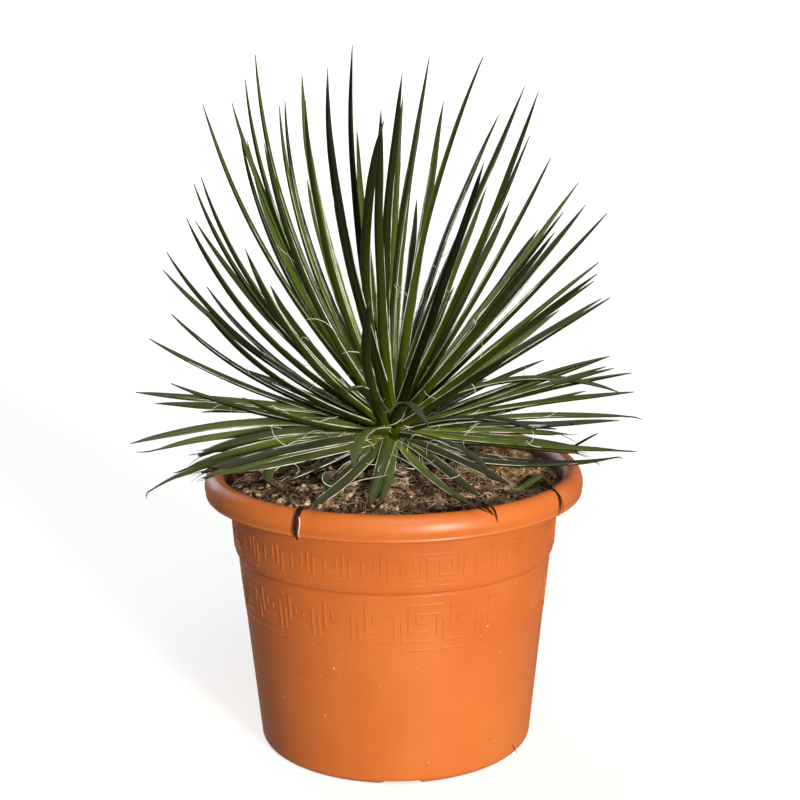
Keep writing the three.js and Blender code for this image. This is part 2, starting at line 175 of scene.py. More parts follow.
def addCopies(bm, master, places):  # each place moves one copy's vertices; the master goes
    for place in places:
        copy = bmesh.ops.duplicate(bm, geom=master)["geom"]
        for part in copy:
            if isinstance(part, bmesh.types.BMVert):
                place(part)
    bmesh.ops.delete(bm, geom=[v for v in master if isinstance(v, bmesh.types.BMVert)], context="VERTS")
    bmesh.ops.recalc_face_normals(bm, faces=bm.faces)


def thread(points, radiusAt, flat=1.0, side=None):  # places a bar's copy along a line of points, in mm
    last = len(points) - 1
    frames = []
    for k, p in enumerate(points):
        along = (points[min(k + 1, last)] - points[max(k - 1, 0)]).normalized()
        if side is None:
            side = along.orthogonal().normalized()
        side = (side - along * side.dot(along)).normalized()
        frames.append((p, side, along.cross(side)))

    def place(vert):
        x, y, s = vert.co
        p, side, up = frames[round(s * last)]
        radius = readAt(radiusAt, s)
        vert.co = (p + side * x * radius + up * y * radius * flat) * mm

    return place


# Camera: fitted to the pot's outline, at eye level and 1.29 m in front of the pot's axis.
camera = {"place": (0, -1.292, 0.5706), "down": 12.83, "roll": -0.009, "lens": 75.6, "shift": 0.0088}


def makeCamera():
    data = bpy.data.cameras.new("camera")
    data.lens = camera["lens"]
    data.sensor_width = 36
    data.shift_x = camera["shift"]
    made = bpy.data.objects.new("camera", data)
    tilt = Matrix.Rotation((90 - camera["down"]) * degrees, 4, "X")
    roll = Matrix.Rotation(camera["roll"], 4, "Z")
    made.matrix_world = Matrix.Translation(camera["place"]) @ tilt @ roll
    bpy.context.scene.collection.objects.link(made)
    bpy.context.scene.camera = made


# Light: a low soft key from the front right, weaker ones from above and behind, and an even pale room.
light = {
    "suns": {
        "key": {"turn": 28, "rise": 10, "strength": 3.4, "soft": 9, "tint": "#FFF9F1"},
        "top": {"turn": 10, "rise": 55, "strength": 0.75, "soft": 30, "tint": "#FFFDF8"},
        "back": {"turn": 215, "rise": 16, "strength": 0.9, "soft": 30, "tint": "#F4F7FF"},
    },
    "room": {"tint": "#FBFBFA", "strength": 0.23},
    "floor": {"radius": 3.6, "wall": 2.2, "fillet": 0.9, "tint": "#C6C6C4", "glow": 0.68},
}


def addSun(name, shape):  # turn is counted from the front to the right, rise from the horizon
    data = bpy.data.lights.new(name, "SUN")
    data.energy = shape["strength"]
    data.angle = shape["soft"] * degrees
    data.color = colour(shape["tint"])[:3]
    lamp = bpy.data.objects.new(name, data)
    turn, rise = shape["turn"] * degrees, shape["rise"] * degrees
    back = Vector((math.sin(turn) * math.cos(rise), -math.cos(turn) * math.cos(rise), math.sin(rise)))
    lamp.matrix_world = Matrix.Translation(back * 3) @ back.to_track_quat("Z", "Y").to_matrix().to_4x4()
    bpy.context.scene.collection.objects.link(lamp)


def makeLights():
    for name, shape in light["suns"].items():
        addSun(name, shape)
    world = bpy.data.worlds.new("room")
    world.use_nodes = True
    background = world.node_tree.nodes["Background"]
    background.inputs["Color"].default_value = colour(light["room"]["tint"])
    background.inputs["Strength"].default_value = light["room"]["strength"]
    bpy.context.scene.world = world


def makeFloor():  # a round floor whose edge sweeps up into a wall
    shape = light["floor"]
    bm = bmesh.new()
    corner = arc(shape["radius"] - shape["fillet"], shape["fillet"], shape["fillet"], shape["fillet"],
                 -90, 0, 12)
    points = [(1, 0)] + corner + [(shape["radius"], shape["wall"])]
    spinProfile(bm, [(r / mm, z / mm) for r, z in points], 96, False)
    bmesh.ops.holes_fill(bm, edges=[e for e in bm.edges if e.is_boundary and e.verts[0].co.z < 0.1])
    mesh = bpy.data.meshes.new("floor")
    bm.to_mesh(mesh)
    bm.free()
    for face in mesh.polygons:
        face.use_smooth = True
    paint = newMaterial("matt studio floor paint", {
        "Roughness": 0.9, "Specular IOR Level": 0.2, "Emission Color": (1, 1, 1, 1),
        "Emission Strength": shape["glow"],
    })
    spot = addNode(paint, "TexCoord").outputs["Object"]
    cloud = addNode(paint, "TexNoise", {"Vector": spot, "Scale": 2.0, "Detail": 2.0})
    tint = addNode(paint, "ValToRGB", {"Fac": cloud.outputs["Fac"]},
                   [(0.3, "#C9C9C6"), (0.7, shape["tint"])])
    dress(paint, base=tint.outputs["Color"])
    mesh.materials.append(paint)
    floor = bpy.data.objects.new("floor", mesh)
    bpy.context.scene.collection.objects.link(floor)
    floor.visible_shadow = False  # its sweep must not stand in the low key light
    floor.visible_diffuse = False
    floor.visible_glossy = False
    floor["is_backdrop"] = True


bpy.context.scene.view_settings.view_transform = "Standard"
makeCamera()
makeLights()
makeFloor()
print("camera, lights and floor made")


# Pot: injection-moulded polypropylene with a rolled rim, hollow from below, and a collar.
pot = {
    "height": 224.5, "rimRadius": 150, "lipCentre": 141.6, "lipRise": 13, "lipWall": 2.7,
    "skirtFoot": 205, "skirtTuck": 1.2,
    "collarTopRadius": 130.6, "collarFootRadius": 127.7, "collarFoot": 163,
    "groove": 157.5, "grooveDepth": 1.2, "grooveLip": 0.6, "bodyTopRadius": 124.8, "footRadius": 109,
    "corner": 5.5, "wall": 2.8, "floorTop": 6, "recess": 3, "padRadius": 24, "ringRadius": 88,
    "notchWidth": 30, "notchTurn": 2, "notches": 4, "drainRadius": 6, "drainCircle": 60, "drains": 8,
    "steps": 240, "rounding": 0.7,
}
lipLevel = pot["height"] - pot["lipRise"]
lipWide = pot["rimRadius"] - pot["lipCentre"]
collarTop = pot["skirtFoot"] - 3


def bodyRadius(z):
    return mix(pot["footRadius"], pot["bodyTopRadius"], z / pot["groove"])


def collarRadius(z):
    share = (z - pot["collarFoot"]) / (pot["skirtFoot"] - pot["collarFoot"])
    return mix(pot["collarFootRadius"], pot["collarTopRadius"], share)


def wallRadius(z):
    return collarRadius(z) if z > pot["groove"] else bodyRadius(z)


def innerRadius(z):
    wall = pot["wall"]
    if z <= pot["groove"]:
        return bodyRadius(z) - wall
    if z <= pot["collarFoot"]:
        share = (z - pot["groove"]) / (pot["collarFoot"] - pot["groove"])
        return mix(pot["bodyTopRadius"], pot["collarFootRadius"], share) - wall
    if z <= collarTop:
        return collarRadius(z) - wall
    share = (z - collarTop) / (lipLevel - collarTop)
    return mix(collarRadius(collarTop) - wall, pot["lipCentre"] - lipWide, share)


def potOutline():
    corner, foot, round_ = pot["corner"], pot["skirtFoot"], pot["rounding"]
    ring, recess = pot["ringRadius"], pot["recess"]
    under = [(0, 0), (pot["padRadius"] - round_, 0)]
    under += arc(pot["padRadius"] - round_, round_, round_, round_, -90, 0, 3)[1:]
    under += [(pot["padRadius"], recess), (40, recess), (54, recess), (66, recess), (ring, recess)]
    under += arc(ring + round_, round_, round_, round_, 180, 270, 3)
    under += [(95, 0), (100, 0)]
    outside = arc(bodyRadius(corner) - corner, corner, corner, corner, -90, 0, 8)
    outside += [(bodyRadius(z), z) for z in range(12, 157, 8)]
    lip = pot["grooveDepth"]
    outside += [(bodyRadius(156.6), 156.6), (bodyRadius(157) - lip * 0.7, 157), (bodyRadius(157.5) - lip, 157.5)]
    outside += [(bodyRadius(158) + 0.2, 158), (bodyRadius(158.3) + 1.0, 158.3), (bodyRadius(158.9) + 1.5, 158.9)]
    outside += [(pot["collarFootRadius"] - 0.55, 160.5), (pot["collarFootRadius"], 163.2)]
    outside += [(collarRadius(z), z) for z in range(166, 202, 6)] + [(collarRadius(collarTop), collarTop)]
    hollow = arc(pot["lipCentre"], lipLevel, lipWide - pot["lipWall"], pot["lipRise"] - pot["lipWall"], 180, 0, 10)
    skirt = pot["rimRadius"] - pot["skirtTuck"]
    hem = [(skirt - pot["lipWall"], foot + 0.6), (skirt - pot["lipWall"] + 0.6, foot)]
    hem += [(skirt - 0.6, foot), (skirt + 0.2, foot + 0.5), (skirt + 0.5, foot + 1.2)]  # the last ones form a bead
    hem += [(skirt + 0.4, foot + 1.8), (skirt + 0.1, foot + 2.4), (skirt + 0.2, foot + 3.2)]
    rim = arc(pot["lipCentre"], lipLevel, lipWide, pot["lipRise"], 0, 180, 22)
    inside = [(innerRadius(z), z) for z in (collarTop, 195, 180, pot["collarFoot"], pot["groove"])]
    inside += [(innerRadius(z), z) for z in (120, 80, 40)]
    inside += arc(innerRadius(11.5) - corner, 11.5, corner, corner, 0, -90, 5)
    inside += [(66, 6), (54, 6), (24, 6), (0, 6)]
    return under + outside + hollow + hem + rim + inside


def cutChannels(bm):  # lifts the foot ring where a drainage channel runs out through it
    width, recess = pot["notchWidth"] / 2 * mm, pot["recess"] * mm
    for k in range(pot["notches"]):
        turn = 2 * math.pi * k / pot["notches"] + pot["notchTurn"] * degrees
        for vert in bm.verts:
            x, y, z = vert.co
            out = x * math.cos(turn) + y * math.sin(turn)
            across = abs(y * math.cos(turn) - x * math.sin(turn))
            if out > pot["ringRadius"] * mm * 0.9 and z < recess:
                lift = min(1, max(0, (width + 1.6 * mm - across) / (3.2 * mm)))
                vert.co.z = max(z, recess * lift)


def drainCutter():
    bm = bmesh.new()
    for k in range(pot["drains"]):
        place = onCircle(pot["drainCircle"] * mm, 2 * math.pi * k / pot["drains"], pot["floorTop"] / 2 * mm)
        bmesh.ops.create_cone(bm, cap_ends=True, segments=32, radius1=pot["drainRadius"] * mm,
                              radius2=pot["drainRadius"] * mm, depth=12 * mm,
                              matrix=Matrix.Translation(place))
    mesh = bpy.data.meshes.new("drainCutter")
    bm.to_mesh(mesh)
    bm.free()
    cutter = bpy.data.objects.new("drainCutter", mesh)
    bpy.context.scene.collection.objects.link(cutter)
    return cutter


def bakeModifiers(piece):  # the mesh becomes what its modifiers show
    graph = bpy.context.evaluated_depsgraph_get()
    mesh = bpy.data.meshes.new_from_object(piece.evaluated_get(graph))
    piece.modifiers.clear()
    piece.data = mesh


def potPlastic():  # injection-moulded polypropylene: satin, with dust, scuffs and faint water runs
    material = newMaterial("terracotta polypropylene, injection moulded", {"IOR": 1.49})
    spot = addNode(material, "TexCoord").outputs["Object"]
    cloud = addNode(material, "TexNoise", {"Vector": spot, "Scale": 14.0, "Detail": 3.0})  # 70 mm patches
    base = addNode(material, "ValToRGB", {"Fac": cloud.outputs["Fac"]},
                   [(0.35, "#D46D2B"), (0.65, "#DB7631")]).outputs["Color"]
    runs = addNode(material, "Mapping", {"Vector": spot, "Scale": (70, 70, 5)})  # 15 mm wide, 200 mm long
    streak = addNode(material, "TexNoise", {"Vector": runs.outputs[0], "Scale": 1.0, "Detail": 2.0})
    faint = addNode(material, "MapRange", {"Value": streak.outputs["Fac"], "From Min": 0.55, "From Max": 0.8,
                                           "To Max": 0.16})
    base = blendColours(material, faint.outputs[0], base, colour("#DC8C50"))
    dust = addNode(material, "TexNoise", {"Vector": spot, "Scale": 420.0, "Detail": 2.0})  # 2.4 mm specks
    specks = addNode(material, "MapRange", {"Value": dust.outputs["Fac"], "From Min": 0.68, "From Max": 0.78,
                                            "To Max": 0.3})
    base = blendColours(material, specks.outputs[0], base, colour("#E2A57C"))
    # painted shade: the inner wall above the soil is darkened towards dark brown, standing in for the shade under the
    # rim and leaves; it also stands for a thin soil film
    flat = addNode(material, "VectorMath", {0: spot, 1: (1, 1, 0)}, operation="MULTIPLY")
    radius = addNode(material, "VectorMath", {0: flat.outputs[0]}, operation="LENGTH").outputs["Value"]
    innerWallShade = addNode(material, "MapRange", {"Value": radius, "From Min": 0.1362, "From Max": 0.1338, "To Max": 0.85})
    level = addNode(material, "SeparateXYZ", {0: spot}).outputs["Z"]
    above = addNode(material, "MapRange", {"Value": level, "From Min": 0.2045, "From Max": 0.2055})
    inside = addNode(material, "Math", {0: innerWallShade.outputs[0], 1: above.outputs[0]}, operation="MULTIPLY")
    base = blendColours(material, inside.outputs[0], base, colour("#4E2A18"))  # painted shade inside the rim above the soil, where rim and leaves shade the inner wall, with a soil film
    sheen = addNode(material, "MapRange", {"Value": cloud.outputs["Fac"], "From Min": 0.3, "From Max": 0.7,
                                           "To Min": 0.34, "To Max": 0.46})
    rough = addNode(material, "Math", {0: inside.outputs[0], 1: 0.4, 2: sheen.outputs[0]}, operation="MULTIPLY_ADD")
    peel = addNode(material, "TexNoise", {"Vector": spot, "Scale": 900.0, "Detail": 1.0})  # 1.1 mm mould grain
    bump = addNode(material, "Bump", {"Height": peel.outputs["Fac"], "Strength": 0.12, "Distance": 0.0003})
    dress(material, base=base, rough=rough.outputs[0], normal=bump.outputs[0])
    return material


def makePot(material):
    bm = bmesh.new()
    spinProfile(bm, potOutline(), pot["steps"], False)
    cutChannels(bm)
    piece = finishPiece("potShell", bm, material, "pot")
    cutter = drainCutter()
    cut = piece.modifiers.new("drains", "BOOLEAN")
    cut.operation = "DIFFERENCE"
    cut.solver = "EXACT"
    cut.object = cutter
    bakeModifiers(piece)
    bpy.data.objects.remove(cutter)


# Key bands: raised lines on a lattice of six columns to a unit. Each run is a list of lattice corners.
keyBands = {
    "keyBandUpper": {
        "units": 28, "foot": 165, "row": 4.1, "rib": 1.7, "phase": 0.14,
        "runs": [
            [(-2.5, 6), (3.2, 6), (3.2, 2), (0.2, 2), (0.2, 4.4)],
            [(0, 1), (4.2, 1), (4.2, 5), (8.1, 5), (8.1, 3.1), (7.2, 3.1)],
            [(0, 0), (3.6, 0)],
        ],
    },
    "keyBandLower": {
        "units": 24, "foot": 113, "row": 7.2, "rib": 1.9, "phase": 0.16,
        "runs": [
            [(3.4, 3.3), (3.4, 3), (2.1, 3), (2.1, 4), (5, 4), (5, 1), (0, 1)],
            [(3.4, 2), (1, 2), (1, 5), (5.8, 5)],
            [(0, 0), (4.6, 0)],
            [(6, 1.2), (6, 3.2)],
        ],
    },
}
relief = {"out": 0.38, "root": 0.8, "bevel": 0.25, "bend": 3.0}


def addRib(bm, corners, half):  # a bar with square corners along a line, its top edges bevelled
    ways = [(Vector(b) - Vector(a)).normalized() for a, b in zip(corners, corners[1:])]
    left, right = [], []
    for k, corner in enumerate(corners):
        before, after = ways[max(k - 1, 0)], ways[min(k, len(ways) - 1)]
        end = (k == len(ways)) - (k == 0)
        turn = before if before == after else before + after
        across = Vector((-turn.y, turn.x))
        middle = Vector(corner) + after * end * half
        left.append(middle + across * half)
        right.append(middle - across * half)
    outline = [bm.verts.new((p.x, p.y, -relief["root"])) for p in left + right[::-1]]
    face = bm.faces.new(outline)
    top = bmesh.ops.extrude_face_region(bm, geom=[face])["geom"]
    for part in top:
        if isinstance(part, bmesh.types.BMVert):
            part.co.z = relief["out"]
    rim = {e for part in top if isinstance(part, bmesh.types.BMFace) for e in part.edges}
    bmesh.ops.bevel(bm, geom=list(rim), offset=relief["bevel"], offset_type="OFFSET", segments=2,
                    profile=0.5, affect="EDGES", material=-1)


def makeKeyBand(name, band, material):
    bm = bmesh.new()
    pitch = 2 * math.pi / band["units"]
    radius = wallRadius(band["foot"] + band["rib"])
    column = pitch * radius / 6
    for run in band["runs"]:
        addRib(bm, [(u * column, band["foot"] + v * band["row"]) for u, v in run], band["rib"] / 2)
    low = min(v.co.x for v in bm.verts)
    high = max(v.co.x for v in bm.verts)
    bands = math.ceil((high - low) / relief["bend"])
    for k in range(1, bands):  # cut into narrow strips, so that each rib bends with the wall
        bmesh.ops.bisect_plane(bm, geom=bm.verts[:] + bm.edges[:] + bm.faces[:],
                               plane_co=(mix(low, high, k / bands), 0, 0), plane_no=(1, 0, 0), dist=1e-4)
    bmesh.ops.recalc_face_normals(bm, faces=bm.faces)
    master = bm.verts[:] + bm.edges[:] + bm.faces[:]

    def onWall(unit):
        def place(vert):
            x, y, z = vert.co
            vert.co = onCircle(wallRadius(y) + z, (unit + band["phase"]) * pitch + x / radius, y) * mm
        return place

    addCopies(bm, master, [onWall(unit) for unit in range(band["units"])])
    finishPiece(name, bm, material, smooth=False)


plastic = potPlastic()
makePot(plastic)
for bandName, bandShape in keyBands.items():
    makeKeyBand(bandName, bandShape, plastic)


# Soil: a coarse mix of humus, bark, fibre and pumice, mounded towards the stem.
gap = 0.3
soil = {"edge": 211, "crown": 233.5, "crownRadius": 20, "lump": 1.4, "hole": 13.3, "holeFoot": 199.7,
        "rings": 56, "steps": 210, "grain": 2.0,
        "heaps": [((8, -50), 4.5, 15), ((88, -2), 8, 24)]}  # place, height and width of each
soilEdge = innerRadius(soil["edge"]) - gap


def moundLevel(radius):
    share = min(1, max(0, (radius - soil["crownRadius"]) / (soilEdge - soil["crownRadius"])))
    return mix(soil["crown"], soil["edge"], share)


def lumps(x, y):
    return math.sin(x / 9) * math.cos(y / 7) + 0.6 * math.sin((x + y) / 5 + 1) * math.cos((x - y) / 11)


def soilHeight(x, y):
    rough = noise.fractal(Vector((x / 6, y / 6, 3)), 0.8, 2.0, 4)
    raised = sum(high * math.exp(-(math.dist((x, y), at) / wide) ** 2) for at, high, wide in soil["heaps"])
    return moundLevel(math.hypot(x, y)) + soil["lump"] * lumps(x, y) + soil["grain"] * rough + raised


def soilHumus():  # composted bark and peat: matt, dark, with paler dry crumbs
    material = newMaterial("potting mix, composted bark and peat", {"IOR": 1.4, "Roughness": 0.95})
    spot = addNode(material, "TexCoord").outputs["Object"]
    crumb = addNode(material, "TexVoronoi", {"Vector": spot, "Scale": 380.0})  # 2.6 mm crumbs
    patch = addNode(material, "TexNoise", {"Vector": spot, "Scale": 90.0, "Detail": 4.0})  # 11 mm patches
    dark = addNode(material, "ValToRGB", {"Fac": patch.outputs["Fac"]},
                   [(0.36, "#100804"), (0.5, "#3C291D"), (0.66, "#8E6C52")]).outputs["Color"]
    pale = addNode(material, "ValToRGB", {"Fac": crumb.outputs["Color"]},
                   [(0.2, "#22150D"), (0.8, "#A08264")]).outputs["Color"]
    base = blendColours(material, 0.45, dark, pale)
    bump = addNode(material, "Bump", {"Height": crumb.outputs["Distance"], "Strength": 0.7, "Distance": 0.001})
    dress(material, base=base, normal=bump.outputs[0])
    return material


def makeSoil(material):
    hole = soil["hole"]
    corner = pot["floorTop"] + gap + pot["corner"]
    inner = [(0, soil["holeFoot"]), (hole, soil["holeFoot"])]
    top = [mix(hole, soilEdge, k / soil["rings"]) for k in range(soil["rings"] + 1)]
    surface = [(radius, moundLevel(radius)) for radius in top]
    side = [(innerRadius(z) - gap, z) for z in (collarTop, 180, pot["collarFoot"], pot["groove"], 100, 50, corner)]
    under = [(innerRadius(corner) - pot["corner"] - gap, pot["floorTop"] + gap), (0, pot["floorTop"] + gap)]
    bm = bmesh.new()
    spinProfile(bm, inner + surface + side + under, soil["steps"], False)
    for vert in bm.verts:
        x, y, z = vert.co / mm
        radius = math.hypot(x, y)
        if radius > hole + 1 and radius < soilEdge - 1 and z > soil["edge"] - 1:
            vert.co.z = soilHeight(x, y) * mm
    finishPiece("soilBed", bm, material, "soil")


makeSoil(soilHumus())


# Leaves: the rule that grows them, then the ones that are set one by one.
rosette = {
    "count": 100, "turn": 137.508, "phase": 298, "seed": 8296, "lowest": -12, "steepest": 68,
    "steps": 60, "curve": 1.3, "lean": 0.1, "stretch": 0.045, "baseRadius": (9, 4), "baseLevel": (244, 262),
    "evenness": 0.6, "bendBefore": 0.55, "bendAfter": 0.9,
}
spread = {"height": 9, "azimuth": 10, "length": 0.2, "bend": 10, "sway": 14, "roll": 36}
settle = {"overSoil": 5, "overRim": 4.5, "rimMargin": 4, "freeSteps": 8, "tries": 40}
lengthAt = [(-15, 171), (0, 187), (15, 190), (30, 202), (45, 232), (60, 264), (75, 273)]
bendAt = [(-15, -16), (0, -6), (15, 3), (30, 8), (45, 11), (60, 11), (75, 7)]
sunBendAt = [(5, 0), (20, 10), (55, 8), (70, 3)]
frontGapAt = [(-15, 100), (8, 100), (18, 26), (52, 26), (53, 0)]
girthAt = [(12, 1), (50, 0.8)]
widthAt = [(0, 12), (0.12, 9.6), (0.35, 9), (0.6, 8.8), (0.8, 7.6), (0.92, 4.6), (0.975, 1.9), (1, 0.5)]
thickAt = [(0, 5.2), (0.2, 3.6), (0.6, 3.1), (0.85, 2.3), (0.95, 1.3), (1, 0.5)]
outer = {"radius": 8, "roll": 8}
inner = {"radius": 4, "level": 262, "roll": 16}
lowRoll = {"left": 28, "right": 10}  # the low leaves show their upper side to the front

# azimuth, rise at the base and at the tip, length, sway, level on the stem, dry share of the tip, the
# share that is left of a leaf that has lost its end, and its tone where that isn't drawn
frontLeaves = [
    (-106, 30, 46, 208, 19, 260, 0.03),
    (-110, 46, -2, 149, 10, 250, 0.05),
    (-86, 37, -15, 154, 10, 254, 0.04),
    (-108, 17, -13, 156, 16, 253, 0.03),
    (-101, -20, -14, 106, 4, 249, 0.03, 1, 0.62),
    (-92, -21, -14, 100, -7, 246, 0.05, 1, 0.52),
    (-134, -24, -6, 84, 28, 249, 0.04),
    (-146, -14, -8, 104, 6, 247, 0.05),
    (-118, -17, 10, 160, 14, 247, 0.06),
    (-56, -11, -6, 126, -13, 249, 0.03),
    (-72, -11, 3, 156, 8, 245, 0.07),
    (-49, -4, -3, 138, -12, 248, 0.03),
    (-62, 9, 1, 190, -19, 251, 0.03),
]
lowLeaves = [
    (176, 6, 5, 199, 1, 262, 0.04, 1, 0.58),
    (169, 5, -5, 205, -19, 256, 0.04),
    (-172, 9, -10, 201, 16, 254, 0.04, 1, 0.58),
    (-153, 14, -26, 152, -32, 249, 0.03, 0.78),
    (-141, 4, -3, 164, 5, 249, 0.03, 0.8),
    (-147, 1, -8, 160, 2, 248, 0.05, 0.9),
    (-144, 6, -33, 202, -59, 249, 0.16),
    (-200, -8, 2, 186, 160, 245, 0.1),
    (-160, 4, -12, 168, 12, 250, 0.07),
    (-166, 1, -8, 143, -14, 248, 0.04, 0.85),
    (-178, 4, -12, 182, 10, 252, 0.05),
    (-156, 3, -10, 156, 10, 247, 0.04, 0.9, 0.42),
    (-138, -3, -2, 146, -18, 247, 0.06),
    (-13, 14, 8, 183, -2, 255, 0.04),
    (-24, 34, -18, 182, 8, 260, 0.04),
    (6, 7, -1, 180, -18, 252, 0.05),
    (-46, 22, -4, 163, -12, 252, 0.04),
    (-29, 2, -2, 145, 10, 248, 0.03, 0.84, 0.48),
    (-31, 1, 5, 191, -1, 251, 0.08),
    (-12, -14, 19, 177, -24, 246, 0.05),
    (-52, -7, 3, 160, 70, 246, 0.12),
    (-20, 2, -6, 136, 14, 250, 0.05, 1, 0.5),
    (-6, 3, -4, 126, 4, 250, 0.04, 0.9),
    (14, 2, -4, 140, -8, 250, 0.05),
]
crownLeaves = [
    (-174, 58, 82, 306, 3), (161, 52, 80, 295, 8), (160, 53, 70, 283, 6), (172, 48, 64, 298, -28),
    (147, 60, 76, 290, -24), (-104, 52, 86, 304, -40), (-113, 65, 88, 302, -22), (-103, 65, 78, 288, 24),
    (100, 64, 86, 292, -60), (-61, 80, 70, 290, 32), (72, 52, 54, 286, -20), (64, 56, 72, 286, -50),
    (89, 57, 48, 281, -8), (137, 50, 84, 275, 20), (-117, 60, 55, 286, 42),
]


def riseAt(t):
    lowest, steepest = rosette["lowest"], rosette["steepest"]
    overSphere = math.asin(mix(math.sin(lowest * degrees), math.sin(steepest * degrees), t)) / degrees
    return mix(overSphere, mix(lowest, steepest, t), rosette["evenness"])


def grownLeaves():
    draw = makeRandom(rosette["seed"])
    leaves = []
    for k in range(rosette["count"]):
        t = k / (rosette["count"] - 1)
        rise = riseAt(t) + draw(-0.5, 0.5) * spread["height"]
        azimuth = rosette["phase"] + rosette["turn"] * k + draw(-0.5, 0.5) * spread["azimuth"]
        dark = -math.cos(azimuth * degrees)  # 1 on the dark side, -1 on the light one
        fullLength = readAt(lengthAt, rise) * (1 + rosette["stretch"] * dark)
        length = fullLength * (1 + draw(-0.5, 0.5) * spread["length"])
        bend = readAt(bendAt, rise) + readAt(sunBendAt, rise) * dark + draw(-0.5, 0.5) * spread["bend"]
        sway = draw(-0.5, 0.5) * spread["sway"]
        roll = draw(-0.5, 0.5) * spread["roll"]
        fromFront = abs((azimuth + 270) % 360 - 180)
        if fromFront >= readAt(frontGapAt, rise):
            leaves.append({
                "azimuth": azimuth, "length": length, "sway": sway, "roll": roll, "dry": 0.035, "cut": 1,
                "base": rise - bend * rosette["bendBefore"], "tip": rise + bend * rosette["bendAfter"],
                "radius": mix(*rosette["baseRadius"], t), "level": mix(*rosette["baseLevel"], t),
            })
    return leaves


def placedLeaves(rows, start):
    names = ("azimuth", "base", "tip", "length", "sway", "level", "dry", "cut", "tone")
    leaves = []
    for k, row in enumerate(rows):
        leaf = {"dry": 0.035, "cut": 1, **start, **dict(zip(names, row))}
        leaf["roll"] = start["roll"] if k % 2 else -start["roll"]
        leaves.append(leaf)
    return leaves


def middleLine(leaf, steps):
    at = Vector(leaf["at"]) if "at" in leaf else onCircle(leaf["radius"], leaf["azimuth"] * degrees, leaf["level"])
    points = [at.copy()]
    step = leaf["length"] / steps
    for k in range(steps):
        s = (k + 0.5) / steps
        rise = mix(leaf["base"], leaf["tip"], s ** rosette["curve"]) * degrees
        turn = (leaf["azimuth"] + leaf["sway"] * s) * degrees
        drawn = rosette["lean"] * s * max(0, math.sin(rise))
        at += onCircle(math.cos(rise), turn, math.sin(rise)) * step
        at.x += drawn * step
        points.append(at.copy())
    return points


def restLevel(radius):
    if radius < pot["lipCentre"] - lipWide - settle["rimMargin"]:
        return moundLevel(radius) + settle["overSoil"]
    if radius < pot["rimRadius"] + settle["rimMargin"]:
        return pot["height"] + settle["overRim"]
    return 0


def settleLeaf(leaf):  # raised a degree at a time until it lies clear of the soil and the rim
    for _ in range(settle["tries"]):
        line = middleLine(leaf, rosette["steps"])
        if all(p.z >= restLevel(math.hypot(p.x, p.y)) for p in line[settle["freeSteps"]:]):
            return
        leaf["base"] += 1
        leaf["tip"] += 1


blade = {"sides": 10, "steps": 44, "crown": 0.4, "keel": 0.7, "wave": 0.35, "torn": 7, "seed": 77}


def overEdge(leaf, s, x):  # how high the blade's rounded upper side is over its middle line, in mm
    thick = readAt(thickAt, s * leaf["cut"])
    return thick / 3 + thick * blade["crown"] * (1 - x * x)


def leafFrames(leaf, steps):  # middle point, sideways and upward directions at each step
    line = middleLine(leaf, steps)
    frames = []
    for k, p in enumerate(line):
        along = (line[min(k + 1, steps)] - line[max(k - 1, 0)]).normalized()
        turn = (leaf["azimuth"] + leaf["sway"] * k / steps) * degrees
        side = Vector((math.sin(turn), -math.cos(turn), 0))
        side = Matrix.Rotation(leaf["roll"] * degrees, 3, along) @ side
        frames.append((p, side, side.cross(along).normalized()))
    return frames


def bladeWidth(leaf, s):  # full width in mm, with slow swells that no two leaves share
    swell = 1 + 0.05 * math.sin(9 * s + leaf["tone"] * 40)
    dried = min(1, max(0, (s - 1 + leaf["dry"]) / 0.03)) * min(0.4, leaf["dry"] * 4) if leaf["cut"] == 1 else 0
    return readAt(widthAt, s * leaf["cut"]) * swell * leaf["girth"] * (1 - dried)


def placeBlade(leaf, layers):
    frames = leafFrames(leaf, blade["steps"])

    def place(vert):
        x, y, s = vert.co
        p, side, up = frames[round(s * blade["steps"])]
        high = overEdge(leaf, s, x if y > 0.01 else 1)
        if y < -0.01:
            high -= readAt(thickAt, s * leaf["cut"]) * (1 - x * x) ** blade["keel"]
        wave = blade["wave"] * math.sin(17 * s + leaf["tone"] * 60) * min(1, 3 * s)
        end = min(1, max(0, (s - 0.93) / 0.07)) if leaf["cut"] < 1 else 0  # a lost end is thin and ragged
        out = side * (x * bladeWidth(leaf, s) / 2 * (1 - 0.4 * end) + wave) + up * high * (1 - 0.65 * end)
        ragged = up.cross(side) * blade["torn"] * end * noise.noise(Vector((x * 2.1, leaf["tone"] * 50, high)))
        vert.co = (p + out + ragged) * mm
        vert[layers["along"]] = mix(leaf.get("from", 0), leaf.get("to", 1), s)
        vert[layers["across"]] = x
        vert[layers["under"]] = 1.0 if y < -0.01 else 0.0
        vert[layers["tone"]] = leaf["tone"]
        vert[layers["dry"]] = min(1, max(0, (s - 1 + leaf["dry"] + 0.01) / 0.02))

    return place


